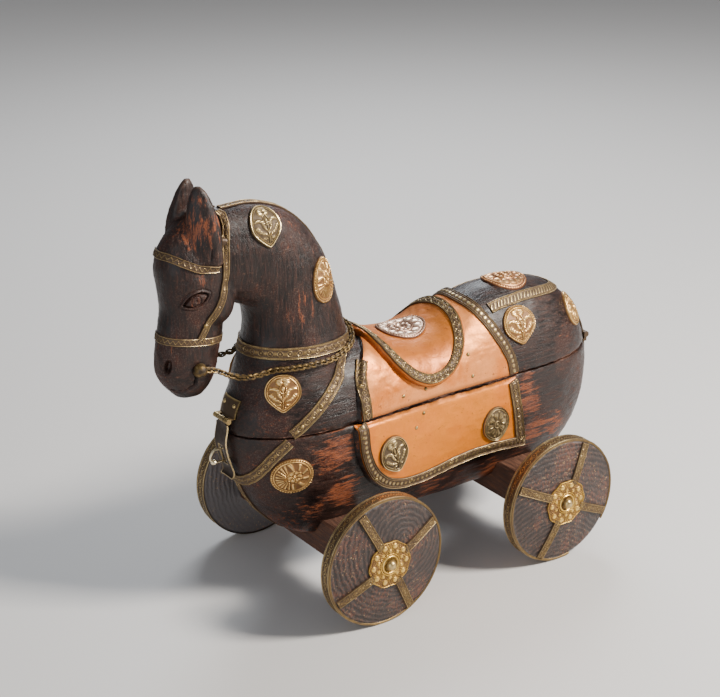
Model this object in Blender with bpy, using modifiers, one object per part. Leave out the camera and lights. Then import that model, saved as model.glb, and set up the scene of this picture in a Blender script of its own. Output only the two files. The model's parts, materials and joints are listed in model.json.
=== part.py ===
# Carved wooden horse on wheels: a box in the shape of a horse, with brass straps, copper saddle sheets,
# embossed medallions and four nailed wheels. Blender 4.5, metres, +Z up, +X the way the horse faces,
# +Y its left side. The origin is on the ground under the middle of the whole. Lengths below are millimetres,
# and the heights of forms, strips and medallions are counted from the seam between box and lid.
import math

import bmesh
import bpy
from mathutils import Vector
from mathutils.bvhtree import BVHTree

MM = 0.001
FIT = 0.3                  # gap between pieces that touch
LAY = 0.4                  # gap under a sheet or strip nailed on
STRAP_THICK = 0.8
STRAP_LAY = 0.55           # gap under a stiffer strip, which bridges more of the skin
SHEET_THICK = 0.6
MEDALLION_THICK = 0.7

# Body box: a boat shaped lower half and a lid
SEAM_HEIGHT = 106.0
BODY_FRONT = 121.0
BODY_REAR = -130.0
BODY_HALF_WIDTH = 33.5
FRONT_ROUND = 51.0         # length over which the prow closes
REAR_ROUND = 54.0          # length over which the rump closes
REAR_END_DROP = 14.0       # the rump ends this far below the seam
BACK_SQUARE = 2.15         # 2 is round, more is squarer
SADDLE_SQUARE = 0.75       # added under the seat
BELLY_SQUARE = 3.1
BELLY_HEIGHT = 33.5
WALL = 8.0
FLOOR = 18.0
BACK_LINE = [(-90, 45.5), (-70, 47.5), (-52, 47), (-38, 43), (-25, 36.5), (-12, 29.5), (2, 26), (15, 27.5),
             (30, 32.5), (45, 39), (70, 41), (121, 41)]

# Neck sections: centre x, centre z, half depth, half width, lean of the section in degrees
NECK = [(79, -10, 34, 28, 0), (79, 14, 36, 29, 0), (77, 34, 33.5, 25.5, 0), (77, 49, 30.5, 22.5, -3),
        (78.5, 64, 28, 20, -9), (82.5, 78, 27, 18.5, -20), (90, 89, 27.5, 17.5, -38),
        (101, 97.5, 28, 16.5, -56), (113, 101.5, 27, 15.5, -68), (126, 103, 24, 14, -80)]
# Head sections down from the poll: centre x, centre z, half depth, half width, lean
HEAD = [(130, 127.5, 7, 4.5, 0), (132, 122, 14, 8, 4), (135.5, 112, 19.5, 12, 3), (137.5, 100, 21.2, 15.6, 2),
        (138, 89, 19.8, 15.2, 0), (138.5, 76, 18.2, 13.4, 4), (140.5, 64, 18.2, 12, 6),
        (143, 52, 18.2, 11.4, 6), (144, 42, 16.8, 11.4, 2), (143.5, 34, 12.8, 9.8, 0), (143, 27.5, 7, 6, 0)]
EAR_HEIGHT = 42.0
EAR_LEANS = {1: 1.5, -1: -4.0}
EAR_TURNS = {1: -35, -1: 14}     # the two ears are carved at different angles
EAR_FORWARD = {1: 0.0, -1: 3.2}
EAR_INWARD = 5.0
EAR_BASE = (136.0, 12.0, 102.0)
EAR_DEPTH = 9.3
EAR_WIDTH = 5.2
EYE = (144.5, 12.2, 85.5)
NOSTRIL = (156.5, 8.0, 48.0)
CHEEK = (130.0, 9.5, 80.0)
MOUTH = (139.0, 33.5, 35.0)      # where the cut starts, its lower and its upper face

# Saddle
CLOTH_RISE = 1.6           # carved step under the copper saddle cloth
SEAT_THICK = 3.0           # the seat is a thicker layer over the cloth
PANEL_RISE = 2.6           # carved step under the lower panels
SEAT_CENTRE = 4.5
SEAT_HALF_LENGTH = 33.0
SEAT_REACH = 82.0          # degrees down each side from the ridge
CLOTH_FRONT = 56.0
CLOTH_FRONT_TOP = 37.0
CLOTH_REAR = -57.5
CLOTH_REAR_TOP = -38.6
BARREL_AXIS = SEAM_HEIGHT + 4.0    # height of the line that the saddle is laid out around
EDGE_GAP = 0.8             # strips and sheets stop this short of the seam
SEAT_SIZES = (0.35, 0.7, 1.0)
SEAT_TURNS = 18
# Lower saddle panels: the edge runs down the front, round the corner and back along the belly
PANEL_EDGE = [(59, -7), (57, -20), (51, -34), (40, -44.5), (26, -49.5), (8, -50), (-14, -46.5), (-38, -45.5),
              (-66, -48)]
PANEL_TOP_FRONT = 60.0
PANEL_TOP_REAR = -56.0

# Brass strips and medallions
STRAP_WIDTH = 6.6
STRAP_INSET = STRAP_WIDTH / 2 + 0.8
CREST_WIDTH = 4.0
COLLAR_RISE = 44.5         # above the seam. The chain and the pieces below it go with the collar
BRIDLE_WIDTH = 4.2
# Embossed medallions: name, centre, long side, short side, turn, how far one end is drawn to a tip, surface
PAIRS = [("neck_upper", (100.5, 14, 118), 22, 19, 180, 0.5, "lid"),
         ("neck_lower", (67.5, 14, COLLAR_RISE + 35.5), 25, 17, 14, 0.0, "lid"),
         ("chest", (100, 26, COLLAR_RISE - 18.5), 20, 20, 180, 0.5, "lid"),
         ("prow", (97, 29, -23), 24, 21, 80, 0.0, "base"),
         ("panel_front", (34, 36, -24), 23, 19, 160, 0.35, "panel"),
         ("panel_rear", (-40, 34, -26), 22, 19, 170, 0.2, "panel"),
         ("rump_side", (-62.5, 25, 28), 22, 23, 180, 0.5, "lid"),
         ("rump_rear", (-109, 14, 23), 22, 17, 20, 0.0, "lid")]

# Rein chain and the bosses on the bit
BOSS = (142.4, 45.0)
BOSS_RADIUS = 3.9
BOSS_RISE = 4.4
CHAIN_RADIUS = 1.6
CHAIN_PITCH = 4.0

# Wheels and axle beams
WHEEL_RADIUS = 38.0
WHEEL_SIDES = 24
WHEEL_THICK = 8.0
WHEEL_DOME = 3.0
WHEEL_BASE = 126.0
TRACK = 143.0              # outer face to outer face
RIM_THICK = 0.9
BEAM_DEPTH = 27.0
BEAM_HEIGHT = 22.0
NAIL_SHANK = 1.5
NAIL_HEAD = 3.2
NAIL_LENGTH = 24.0
BORE_CLEAR = 0.35
ROSETTE_RADIUS = 14.0
SPOKE_WIDTH = 5.2
# Where each wheel has come to rest: turn of its spokes in degrees
SPOKE_TURNS = {"front_left": 63, "rear_left": 26, "front_right": 40, "rear_right": 10}

# Hasp at the chest and hinge at the tail
HASP_WIDTH = 12.0
HASP_HINGE_UP = 8.0        # hinge line above the seam
HASP_THICK = 1.0
HASP_STAND = 1.9           # how far the flap stands off the chest
KNUCKLE = 1.6
PIN = 0.7
SLOT_WIDTH = 4.6
SLOT_TOP = 15.5            # below the hinge line
SLOT_END = 27.5
WIRE = 0.8
STAPLE_REACH = 10.0
HINGE_WIDTH = 18.0
HINGE_RADIUS = 1.9
LEAF_LENGTH = 14.0

scene = bpy.context.scene
for old in list(bpy.data.objects):
    bpy.data.objects.remove(old, do_unlink=True)
parts = bpy.data.collections.new("Wooden horse on wheels")
guides = bpy.data.collections.new("Cutters and guides")
scene.collection.children.link(parts)
scene.collection.children.link(guides)


def material(name, colour, roughness, metallic):
    made = bpy.data.materials.new(name)
    made.use_nodes = True
    shader = made.node_tree.nodes["Principled BSDF"]
    shader.inputs["Base Color"].default_value = (*colour, 1)
    shader.inputs["Roughness"].default_value = roughness
    shader.inputs["Metallic"].default_value = metallic
    return made


DARK_WOOD = ("dark carved wood", (0.075, 0.035, 0.022), 0.5, 0.0)
BEAM_WOOD = ("beam wood", (0.13, 0.07, 0.045), 0.65, 0.0)
WHEEL_WOOD = ("wheel wood", (0.09, 0.05, 0.035), 0.55, 0.0)
BRASS = ("aged brass", (0.42, 0.31, 0.14), 0.42, 1.0)
BRIGHT_BRASS = ("bright brass", (0.70, 0.46, 0.18), 0.35, 1.0)
COPPER = ("copper sheet", (0.80, 0.36, 0.13), 0.38, 1.0)


def finish_object(made, look, hidden=False):
    made.data.materials.clear()
    made.data.materials.append(material(made.name + " " + look[0], *look[1:]))
    if hidden:
        guides.objects.link(made)
        made.hide_render = True
        made.display_type = "WIRE"
    else:
        parts.objects.link(made)
    return made


def object_from(name, points, faces, look, hidden=False):
    """A mesh object from points in millimetres."""
    data = bpy.data.meshes.new(name)
    data.from_pydata([tuple(c * MM for c in p) for p in points], [], faces)
    data.validate()
    work = bmesh.new()
    work.from_mesh(data)
    bmesh.ops.remove_doubles(work, verts=work.verts, dist=0.00001)
    bmesh.ops.recalc_face_normals(work, faces=work.faces)
    work.to_mesh(data)
    work.free()
    return finish_object(bpy.data.objects.new(name, data), look, hidden)


def copy_of(source, name, look, hidden=False):
    """The evaluated mesh of an object as a new object."""
    graph = bpy.context.evaluated_depsgraph_get()
    data = bpy.data.meshes.new_from_object(source.evaluated_get(graph))
    data.transform(source.matrix_world)
    return finish_object(bpy.data.objects.new(name, data), look, hidden)


def boolean(target, tool, operation):
    step = target.modifiers.new(operation.lower() + " " + tool.name, "BOOLEAN")
    step.operation = operation
    step.object = tool
    step.solver = "EXACT"


def ring_loft(name, rings, look, hidden=False):
    """A closed skin over rings of equal count. A ring of one point closes that end."""
    points, faces, starts = [], [], []
    for ring in rings:
        starts.append(len(points))
        points.extend(ring)
    for low, high, a, b in zip(starts, starts[1:], rings, rings[1:]):
        count = max(len(a), len(b))
        for i in range(count):
            j = (i + 1) % count
            if len(a) == 1:
                faces.append((low, high + i, high + j))
            elif len(b) == 1:
                faces.append((low + i, high, low + j))
            else:
                faces.append((low + i, high + i, high + j, low + j))
    for start, ring, turn in ((starts[0], rings[0], 1), (starts[-1], rings[-1], -1)):
        if len(ring) > 1:
            faces.append(tuple(range(start, start + len(ring)))[::turn])
    return object_from(name, points, faces, look, hidden)


def cube(name, low, high, look, hidden=False, bevel=0.0):
    bpy.ops.mesh.primitive_cube_add(size=1)
    made = bpy.context.object
    made.name = name
    for holder in list(made.users_collection):
        holder.objects.unlink(made)
    centre = [(a + b) / 2 * MM for a, b in zip(low, high)]
    for vertex in made.data.vertices:
        vertex.co = [c + v * (b - a) * MM for c, v, a, b in zip(centre, vertex.co, low, high)]
    if bevel:
        step = made.modifiers.new("worn edges", "BEVEL")
        step.width = bevel * MM
        step.segments = 1
    return finish_object(made, look, hidden)


def cylinder(name, centre, radius, length, axis, look, sides=12, hidden=False, turn=0.0):
    """A cylinder about a line through centre along axis x, y or z."""
    rings = []
    for end in (-length / 2, length / 2):
        ring = []
        for i in range(sides):
            a = math.tau * (i + turn) / sides
            u, v = radius * math.cos(a), radius * math.sin(a)
            offset = {"x": (end, u, v), "y": (v, end, u), "z": (u, v, end)}[axis]
            ring.append(tuple(c + o for c, o in zip(centre, offset)))
        rings.append(ring)
    return ring_loft(name, rings, look, hidden)


def turned(name, profile, sides, centre, side, look, hidden=False):
    """A profile of (radius, outward distance) spun about an axle along Y."""
    data = bpy.data.meshes.new(name)
    corners = [(r * MM, 0, -out * MM) for r, out in profile]
    loop = [(i, (i + 1) % len(corners)) for i in range(len(corners))]
    if profile[0][0] == 0:
        loop.pop()
    data.from_pydata(corners, loop, [])
    made = bpy.data.objects.new(name, data)
    finish_object(made, look, hidden)
    spin = made.modifiers.new("turn", "SCREW")
    spin.axis = "Z"
    spin.steps = sides
    spin.render_steps = sides
    spin.use_merge_vertices = True
    spin.merge_threshold = 0.00001
    made.rotation_euler = (math.radians(90) * side, math.radians(180) / sides, 0)
    made.location = [c * MM for c in centre]
    bpy.context.view_layer.update()
    flat = copy_of(made, name + " turned", look, True)
    bpy.data.objects.remove(made, do_unlink=True)
    work = bmesh.new()
    work.from_mesh(flat.data)
    bmesh.ops.remove_doubles(work, verts=work.verts, dist=0.00001)
    bmesh.ops.recalc_face_normals(work, faces=work.faces)
    work.to_mesh(flat.data)
    work.free()
    guides.objects.unlink(flat)
    flat.name = name
    flat.hide_render = False
    flat.display_type = "TEXTURED"
    if hidden:
        return finish_object(flat, look, True)
    return finish_object(flat, look)


def along(points, t):
    """A smooth height through (x, height) points."""
    if t <= points[0][0]:
        return points[0][1]
    if t >= points[-1][0]:
        return points[-1][1]
    i = max(k for k in range(len(points) - 1) if points[k][0] <= t)
    slopes = []
    for k in (i, i + 1):
        a, b = points[max(k - 1, 0)], points[min(k + 1, len(points) - 1)]
        slopes.append((b[1] - a[1]) / (b[0] - a[0]))
    (x0, y0), (x1, y1) = points[i], points[i + 1]
    h = x1 - x0
    s = (t - x0) / h
    return (y0 * (1 + 2 * s) * (1 - s) ** 2 + slopes[0] * h * s * (1 - s) ** 2
            + y1 * s * s * (3 - 2 * s) + slopes[1] * h * s * s * (s - 1))


def smooth_path(points, step, closed=False):
    """Points at even steps along a Catmull-Rom curve through the given ones."""
    knots = [Vector(p) for p in points]
    count = len(knots)
    fine = []
    for i in range(count if closed else count - 1):
        if closed:
            a, b, c, d = (knots[(i + k) % count] for k in (-1, 0, 1, 2))
        else:
            a, b, c, d = (knots[min(max(i + k, 0), count - 1)] for k in (-1, 0, 1, 2))
        for s in range(12):
            t = s / 12
            fine.append(0.5 * (2 * b + (c - a) * t + (2 * a - 5 * b + 4 * c - d) * t * t
                               + (3 * b - a - 3 * c + d) * t ** 3))
    fine.append(knots[0] if closed else knots[-1])
    lengths = [0.0]
    for a, b in zip(fine, fine[1:]):
        lengths.append(lengths[-1] + (b - a).length)
    pieces = max(3, round(lengths[-1] / step))
    out = []
    for i in range(pieces if closed else pieces + 1):
        want = lengths[-1] * i / pieces
        k = max(j for j in range(len(lengths) - 1) if lengths[j] <= want + 1e-9)
        share = (want - lengths[k]) / max(lengths[k + 1] - lengths[k], 1e-9)
        out.append(fine[k].lerp(fine[k + 1], share))
    return out


def rounded(share, power):
    """How wide a rounded end still is at a share of its length."""
    return max(1 - min(share, 1.0) ** power, 0.0) ** (1 / power)


def body_ring(x, inset=0.0, floor=0.0, sides=26):
    """The body's outline across its length at x."""
    front, rear = BODY_FRONT - inset, BODY_REAR + inset
    to_front = max(0.0, (x - (BODY_FRONT - FRONT_ROUND)) / (front - BODY_FRONT + FRONT_ROUND))
    to_rear = max(0.0, (BODY_REAR + REAR_ROUND - x) / (BODY_REAR + REAR_ROUND - rear))
    wide = BODY_HALF_WIDTH - 2.5 * min(1.0, max(0.0, (60 - x) / 60)) - inset
    top, low = SEAM_HEIGHT + along(BACK_LINE, x) - inset, BELLY_HEIGHT + floor
    middle = SEAM_HEIGHT - 4
    if to_front > 0:
        round_w, round_t, round_b = (rounded(to_front, p) for p in (2.0, 2.0, 1.8))
        end = SEAM_HEIGHT
    else:
        round_w, round_t, round_b = (rounded(to_rear, p) for p in (2.1, 2.1, 2.0))
        end = SEAM_HEIGHT - REAR_END_DROP
    share = max(to_front, to_rear)
    middle = middle + (end - middle) * share
    top = end + (top - end) * round_t
    low = end + (low - end) * round_b
    wide *= round_w
    if share >= 1:
        return [(x, 0.0, end)]
    upper = BACK_SQUARE + SADDLE_SQUARE * math.exp(-((x - SEAT_CENTRE) / SEAT_HALF_LENGTH) ** 2)
    lower = BELLY_SQUARE - 0.7 * share
    ring = []
    for i in range(sides):
        a = math.tau * (i + 0.5) / sides
        c, s = math.cos(a), math.sin(a)
        power = 2 / upper if s > 0 else 2 / lower
        y = wide * math.copysign(abs(c) ** power, c)
        reach = top - middle if s > 0 else middle - low
        ring.append((x, y, middle + reach * math.copysign(abs(s) ** power, s)))
    return ring


def body_loft(name, inset, floor, stations, sides, look):
    rear, front = BODY_REAR + inset, BODY_FRONT - inset
    middle_rear, middle_front = BODY_REAR + REAR_ROUND, BODY_FRONT - FRONT_ROUND
    places = []
    for i in range(stations):
        places.append(middle_rear - (middle_rear - rear) * math.cos(math.pi / 2 * i / stations))
    count = round((middle_front - middle_rear) / 12)
    places += [middle_rear + (middle_front - middle_rear) * i / count for i in range(count + 1)]
    for i in range(stations - 1, -1, -1):
        places.append(middle_front + (front - middle_front) * math.cos(math.pi / 2 * i / stations))
    return ring_loft(name, [body_ring(x, inset, floor, sides) for x in places], look, True)


def leaning_ring(section, sides, power=2.1):
    """An oval section whose plane leans nose up or down about the Y axis."""
    x, z, depth, width, lean = section
    tilt = math.radians(lean)
    ring = []
    for i in range(sides):
        a = math.tau * i / sides
        c, s = math.cos(a), math.sin(a)
        d = depth * math.copysign(abs(c) ** (2 / power), c)
        y = width * math.copysign(abs(s) ** (2 / power), s)
        ring.append((x + d * math.cos(tilt), y, SEAM_HEIGHT + z + d * math.sin(tilt)))
    return ring


def ball(name, centre, radii, look, turns=8, rows=6, lean=0.0):
    """An egg shape, leaned about the Y axis."""
    tilt = math.radians(lean)
    rings = []
    for j in range(rows + 1):
        polar = math.pi * j / rows
        ring = []
        for i in range(turns if 0 < j < rows else 1):
            a = math.tau * i / turns
            u = radii[0] * math.sin(polar) * math.cos(a)
            v = radii[1] * math.sin(polar) * math.sin(a)
            w = radii[2] * math.cos(polar)
            ring.append((centre[0] + u * math.cos(tilt) + w * math.sin(tilt), centre[1] + v,
                         centre[2] - u * math.sin(tilt) + w * math.cos(tilt)))
        rings.append(ring)
    return ring_loft(name, rings, look, True)


class Skin:
    """Finds places on carved surfaces and lays thin pieces on them."""

    def __init__(self, *objects):
        bpy.context.view_layer.update()
        graph = bpy.context.evaluated_depsgraph_get()
        self.trees = [BVHTree.FromObject(one, graph) for one in objects]

    def nearest(self, point):
        return self.trees[0].find_nearest(Vector(point) * MM)[0] / MM

    def facing(self, point, reach=5.0):
        total = Vector()
        for _, normal, _, distance in self.trees[0].find_nearest_range(Vector(point) * MM, reach * MM):
            total += normal * (reach * MM - distance)
        return total.normalized()

    def cast(self, start, heading):
        heading = Vector(heading).normalized()
        found = self.trees[0].ray_cast(Vector(start) * MM, heading)
        return None if found[0] is None else found[0] / MM

    def height(self, point, normal, reach=6.0):
        """How far the highest surface is above a point, along its normal."""
        best = None
        for tree in self.trees:
            hit = tree.ray_cast((point + normal * reach) * MM, -normal, 2.5 * reach * MM)[0]
            if hit is not None:
                up = (hit / MM - point).dot(normal)
                best = up if best is None else max(best, up)
        return best

    def lay(self, points, faces, gap):
        """Lifts the points of an open surface until all of it clears the skin by the gap."""
        points = [Vector(p) for p in points]
        normals = [self.facing(p) for p in points]
        for i, point in enumerate(points):
            up = self.height(point, normals[i])
            if up is not None:
                points[i] = point + normals[i] * (up + gap)
        for _ in range(8):
            lift = [0.0] * len(points)
            for face in faces:
                corners = list(face)
                normal = sum((normals[k] for k in corners), Vector()).normalized()
                a, b, c, d = (points[k] for k in (corners[0], corners[1], corners[2], corners[-1]))
                shares = [k / 6 for k in range(7)]
                spots = [a.lerp(b, s).lerp(d.lerp(c, s), t) for s in shares for t in shares]
                spots += [a.lerp(c, s) for s in shares] + [b.lerp(d, s) for s in shares]
                rises = [self.height(spot, normal) for spot in spots]
                highest = max([0.0] + [up + gap for up in rises if up is not None])
                for k in corners:
                    lift[k] = max(lift[k], highest)
            if max(lift) < 0.01:
                break
            points = [p + n * up for p, n, up in zip(points, normals, lift)]
        return points, normals

    def push_clear(self, points, room):
        """Moves the points of a loose line out from the surfaces until it has this much room all round."""
        moved = []
        for point in points:
            near = self.nearest(point)
            normal = self.facing(near)
            away = (point - near).dot(normal)
            rises = []
            for k in range(-3, 4):
                beside = Vector((0, 0, room * k / 3))
                rises.append(self.height(near + beside - normal * beside.dot(normal), normal))
            need = max(up for up in rises if up is not None) + room
            moved.append(point + normal * max(0.0, need - away) if away < 9 else point.copy())
        return moved


def thin_piece(name, points, faces, normals, thick, look, hidden=False):
    """An open surface given its thickness outwards."""
    data = bpy.data.meshes.new(name)
    data.from_pydata([tuple(p * MM) for p in points], [], faces)
    data.update()
    facing = sum(data.polygons[i].normal.dot(normals[f[0]]) for i, f in enumerate(faces))
    if facing < 0:
        data.flip_normals()
    made = finish_object(bpy.data.objects.new(name, data), look, hidden)
    wall = made.modifiers.new("thickness", "SOLIDIFY")
    wall.thickness = thick * MM
    wall.offset = 1
    return made


def grid_faces(rows, columns, close=False):
    faces = []
    for i in range(rows if close else rows - 1):
        for j in range(columns - 1):
            a, b = i * columns + j, ((i + 1) % rows) * columns + j
            faces.append((a, a + 1, b + 1, b))
    return faces


def strap(name, route, width, skin, step=7.5, closed=False, hidden=False):
    """A brass strip laid on a skin along a route."""
    path = [skin.nearest(p) for p in smooth_path(route, step, closed)]
    count = len(path)
    points = []
    for i, point in enumerate(path):
        after = path[(i + 1) % count] if closed else path[min(i + 1, count - 1)]
        before = path[i - 1] if closed else path[max(i - 1, 0)]
        normal = skin.facing(point)
        aside = (after - before).cross(normal).normalized()
        for edge in (-0.5, 0.5):
            spot = point + aside * width * edge
            near = skin.cast(spot + normal * 8, -normal)
            points.append(near if near is not None and (near - spot).length < 6 else spot)
    faces = grid_faces(count, 2, closed)
    points, normals = skin.lay(points, faces, STRAP_LAY)
    return thin_piece(name, points, faces, normals, STRAP_THICK, BRASS, hidden)


def medallion(name, centre, skin, long_side, short_side, turn, leaf=0.0, sides=12, crown=1.1):
    """A domed plate of oval or leaf outline. turn is degrees from straight up, leaf draws one end to a tip."""
    centre = skin.nearest(centre)
    normal = skin.facing(centre, 8.0)
    up = Vector((0, 0, 1)) - normal * normal.z
    if up.length < 0.35:
        up = Vector((1, 0, 0)) - normal * normal.x
    up.normalize()
    aside = up.cross(normal)
    angle = math.radians(turn)
    long_axis = up * math.cos(angle) + aside * math.sin(angle)
    short_axis = aside * math.cos(angle) - up * math.sin(angle)
    points = [centre]
    for i in range(sides):
        a = math.tau * i / sides
        reach = math.cos(a)
        pull = 1 - leaf * max(reach, 0) ** 3
        spot = (centre + long_axis * (long_side / 2 * (reach + leaf * 0.25 * max(reach, 0) ** 4))
                + short_axis * (short_side / 2 * math.sin(a) * pull))
        near = skin.cast(spot + normal * 9, -normal)
        points.append(near if near is not None else spot)
    faces = [(0, 1 + i, 1 + (i + 1) % sides) for i in range(sides)]
    points, normals = skin.lay(points, faces, LAY)
    points[0] += normals[0] * crown
    return thin_piece(name, points, faces, normals, MEDALLION_THICK, BRIGHT_BRASS)


def on_side(place, side):
    """A place counted from the seam, on the left side or mirrored to the right."""
    return place[0], side * place[1], SEAM_HEIGHT + place[2]


def above_seam(places, side=1):
    return [on_side(place, side) for place in places]


# Carved form: body, neck and head as one piece of wood
def ear(side):
    """A tall leaf shaped ear, hollowed towards the front."""
    rings = []
    levels = 6
    for j in range(levels):
        t = j / levels
        size = (1 - t ** 3.2) ** 0.75 * (0.86 + 0.14 * math.sin(math.pi * t))
        lean = EAR_LEANS[side] * t ** 1.5
        centre = (EAR_BASE[0] + EAR_FORWARD[side] + lean, side * (EAR_BASE[1] - EAR_INWARD * t),
                  SEAM_HEIGHT + EAR_BASE[2] + EAR_HEIGHT * t)
        ring = []
        for i in range(7):
            a = math.pi * (0.14 + 1.72 * i / 6)
            ring.append((EAR_DEPTH * size * math.cos(a), -side * EAR_WIDTH * size * math.sin(a)))
        for i in range(3):
            a = math.pi * (0.16 + 0.34 * i)
            hollow = 0.35 if j else 0.9
            ring.append((EAR_DEPTH * 0.62 * size * math.cos(math.pi - a) + 0.22 * EAR_DEPTH * size,
                         side * EAR_WIDTH * size * (0.45 - hollow * math.sin(a))))
        out = math.radians(EAR_TURNS[side])
        rings.append([(centre[0] + u * math.cos(out) - v * math.sin(out),
                       centre[1] + u * math.sin(out) + v * math.cos(out), centre[2]) for u, v in ring])
    rings.append([(EAR_BASE[0] + EAR_FORWARD[side] + EAR_LEANS[side], side * (EAR_BASE[1] - EAR_INWARD),
                   SEAM_HEIGHT + EAR_BASE[2] + EAR_HEIGHT)])
    return ring_loft(f"ear form {side}", rings, DARK_WOOD, True)


carved = body_loft("carved form", 0.0, 0.0, 5, 24, DARK_WOOD)
neck_form = ring_loft("neck form", [leaning_ring(s, 16) for s in NECK], DARK_WOOD, True)
head_form = ring_loft("head form", [leaning_ring(s, 14, 2.25) for s in HEAD], DARK_WOOD, True)
boolean(carved, neck_form, "UNION")
boolean(carved, head_form, "UNION")
for side in (1, -1):
    boolean(carved, ear(side), "UNION")
    boolean(carved, ball(f"cheek form {side}", on_side(CHEEK, side), (11, 6, 13), DARK_WOOD), "UNION")
    boolean(carved, ball(f"eye form {side}", on_side(EYE, side), (6, 2.6, 3.6), DARK_WOOD, lean=15), "UNION")
    boolean(carved, ball(f"nostril cut {side}", on_side(NOSTRIL, side), (2.2, 3.0, 5.0), DARK_WOOD, 6, 4, 15),
            "DIFFERENCE")
mouth_cut = cube("mouth cut", (MOUTH[0], -20, SEAM_HEIGHT + MOUTH[1]), (MOUTH[0] + 36, 20, SEAM_HEIGHT + MOUTH[2]),
                 DARK_WOOD, True)
boolean(carved, mouth_cut, "DIFFERENCE")
form = copy_of(carved, "whole form", DARK_WOOD, True)
form_skin = Skin(form)


def ring_point(x, degrees, skin=None):
    """The skin where a line at this angle above the left seam leaves the barrel's axis."""
    a = math.radians(degrees)
    heading = Vector((0, math.cos(a), math.sin(a)))
    axis = Vector((x, 0, BARREL_AXIS))
    return (skin or form_skin).cast(axis + heading * 120, -heading)


def cloth_edges(degrees):
    """Where the saddle cloth starts and ends along the body at an angle round the barrel."""
    top = max(0.0, math.sin(math.radians(degrees)))
    front = CLOTH_FRONT + (CLOTH_FRONT_TOP - CLOTH_FRONT) * top ** 3
    rear = CLOTH_REAR + (CLOTH_REAR_TOP - CLOTH_REAR) * top ** 1.6
    return front, rear


def cloth_point(share, degrees, skin):
    """A place on the saddle cloth: share 0 at its front edge and 1 at its rear edge."""
    front, rear = cloth_edges(degrees)
    return ring_point(front + (rear - front) * share, degrees, skin)


def cloth_grid(skin, low, high, rows, columns, margin=0.0):
    return [cloth_point(margin + (1 - 2 * margin) * j / (columns - 1), low + (high - low) * i / (rows - 1), skin)
            for i in range(rows) for j in range(columns)]


def seat_point(size, turn, skin):
    """A place on the seat: size 0 at its middle and 1 at its edge."""
    a = math.radians(turn)
    x = SEAT_CENTRE - SEAT_HALF_LENGTH * size * math.cos(a)
    return ring_point(x, 90 - SEAT_REACH * size * math.sin(a), skin)


def seat_grid(skin, sizes, turns):
    points = [seat_point(0, 0, skin)]
    for size in sizes:
        points += [seat_point(size, 360 * i / turns, skin) for i in range(turns)]
    faces = [(0, 1 + i, 1 + (i + 1) % turns) for i in range(turns)]
    for k in range(len(sizes) - 1):
        low, high = 1 + k * turns, 1 + (k + 1) * turns
        faces += [(low + i, high + i, high + (i + 1) % turns, low + (i + 1) % turns) for i in range(turns)]
    return points, faces


def raise_step(target, name, points, faces, rise, skin):
    """Adds a low carved step of even height to a form."""
    normals = [skin.facing(p) for p in points]
    sunk = [Vector(p) - n * 2.0 for p, n in zip(points, normals)]
    step = thin_piece(name + " sheet", sunk, faces, normals, rise + 2.0, DARK_WOOD, True)
    solid = copy_of(step, name, DARK_WOOD, True)
    boolean(target, solid, "UNION")


lid_form = copy_of(form, "lid form", DARK_WOOD, True)
raise_step(lid_form, "saddle cloth step", cloth_grid(form_skin, -9, 189, 14, 6), grid_faces(14, 6),
           CLOTH_RISE, form_skin)
lid_whole = copy_of(lid_form, "lid form with cloth", DARK_WOOD, True)
lid_skin = Skin(lid_whole)


def side_point(x, z, side, skin):
    return skin.cast((x, side * 80, z), (0, -side, 0))


def inset(outline, distance):
    """An open outline in the side view moved in by a distance, with square corners kept square."""
    moved = []
    for i, (x, z) in enumerate(outline):
        edges = []
        for k in (i - 1, i):
            if 0 <= k < len(outline) - 1:
                (x0, z0), (x1, z1) = outline[k], outline[k + 1]
                long = math.hypot(x1 - x0, z1 - z0)
                edges.append(Vector(((z1 - z0) / long, -(x1 - x0) / long)))
        aside = sum(edges, Vector((0, 0))).normalized()
        reach = distance / aside.dot(edges[0])
        moved.append((x + aside.x * reach, z + aside.y * reach))
    return moved


def panel_outline(top):
    edge = [(x, SEAM_HEIGHT + z) for x, z in PANEL_EDGE]
    return [(PANEL_TOP_FRONT, top)] + edge + [(PANEL_TOP_REAR, top)]


def panel_grid(side, skin, top, rows, margin=0.0):
    points = []
    outline = inset(panel_outline(top), margin)
    columns = len(PANEL_EDGE)
    for j in range(rows):
        for i, (x, z) in enumerate(outline[1:-1]):
            t = j / (rows - 1)
            top_x = outline[0][0] + (outline[-1][0] - outline[0][0]) * i / (columns - 1)
            points.append(side_point(top_x + (x - top_x) * t, top + (z - top) * t, side, skin))
    return points


base_form = copy_of(form, "base form", DARK_WOOD, True)
for side in (1, -1):
    raise_step(base_form, f"panel step {side}", panel_grid(side, form_skin, SEAM_HEIGHT + 2, 4),
               grid_faces(4, len(PANEL_EDGE)), PANEL_RISE, form_skin)
base_whole = copy_of(base_form, "base form with panels", DARK_WOOD, True)
base_skin = Skin(base_whole)

# The box: hollow, cut in two at the seam, with the beams let into its underside
cavity = body_loft("cavity", WALL, FLOOR, 3, 16, DARK_WOOD)
reach = 400
below = cube("below seam", (-reach, -reach, -reach), (reach, reach, SEAM_HEIGHT + FIT / 2), DARK_WOOD, True)
above = cube("above seam", (-reach, -reach, SEAM_HEIGHT - FIT / 2), (reach, reach, reach), DARK_WOOD, True)
beam_top = WHEEL_RADIUS + BEAM_HEIGHT / 2
beam_low = WHEEL_RADIUS - BEAM_HEIGHT / 2
wheel_half = WHEEL_THICK / 2
wheel_y = TRACK / 2 - wheel_half - WHEEL_DOME
beam_end = wheel_y - wheel_half - 0.6
axles = {"front": WHEEL_BASE / 2, "rear": -WHEEL_BASE / 2}

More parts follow.
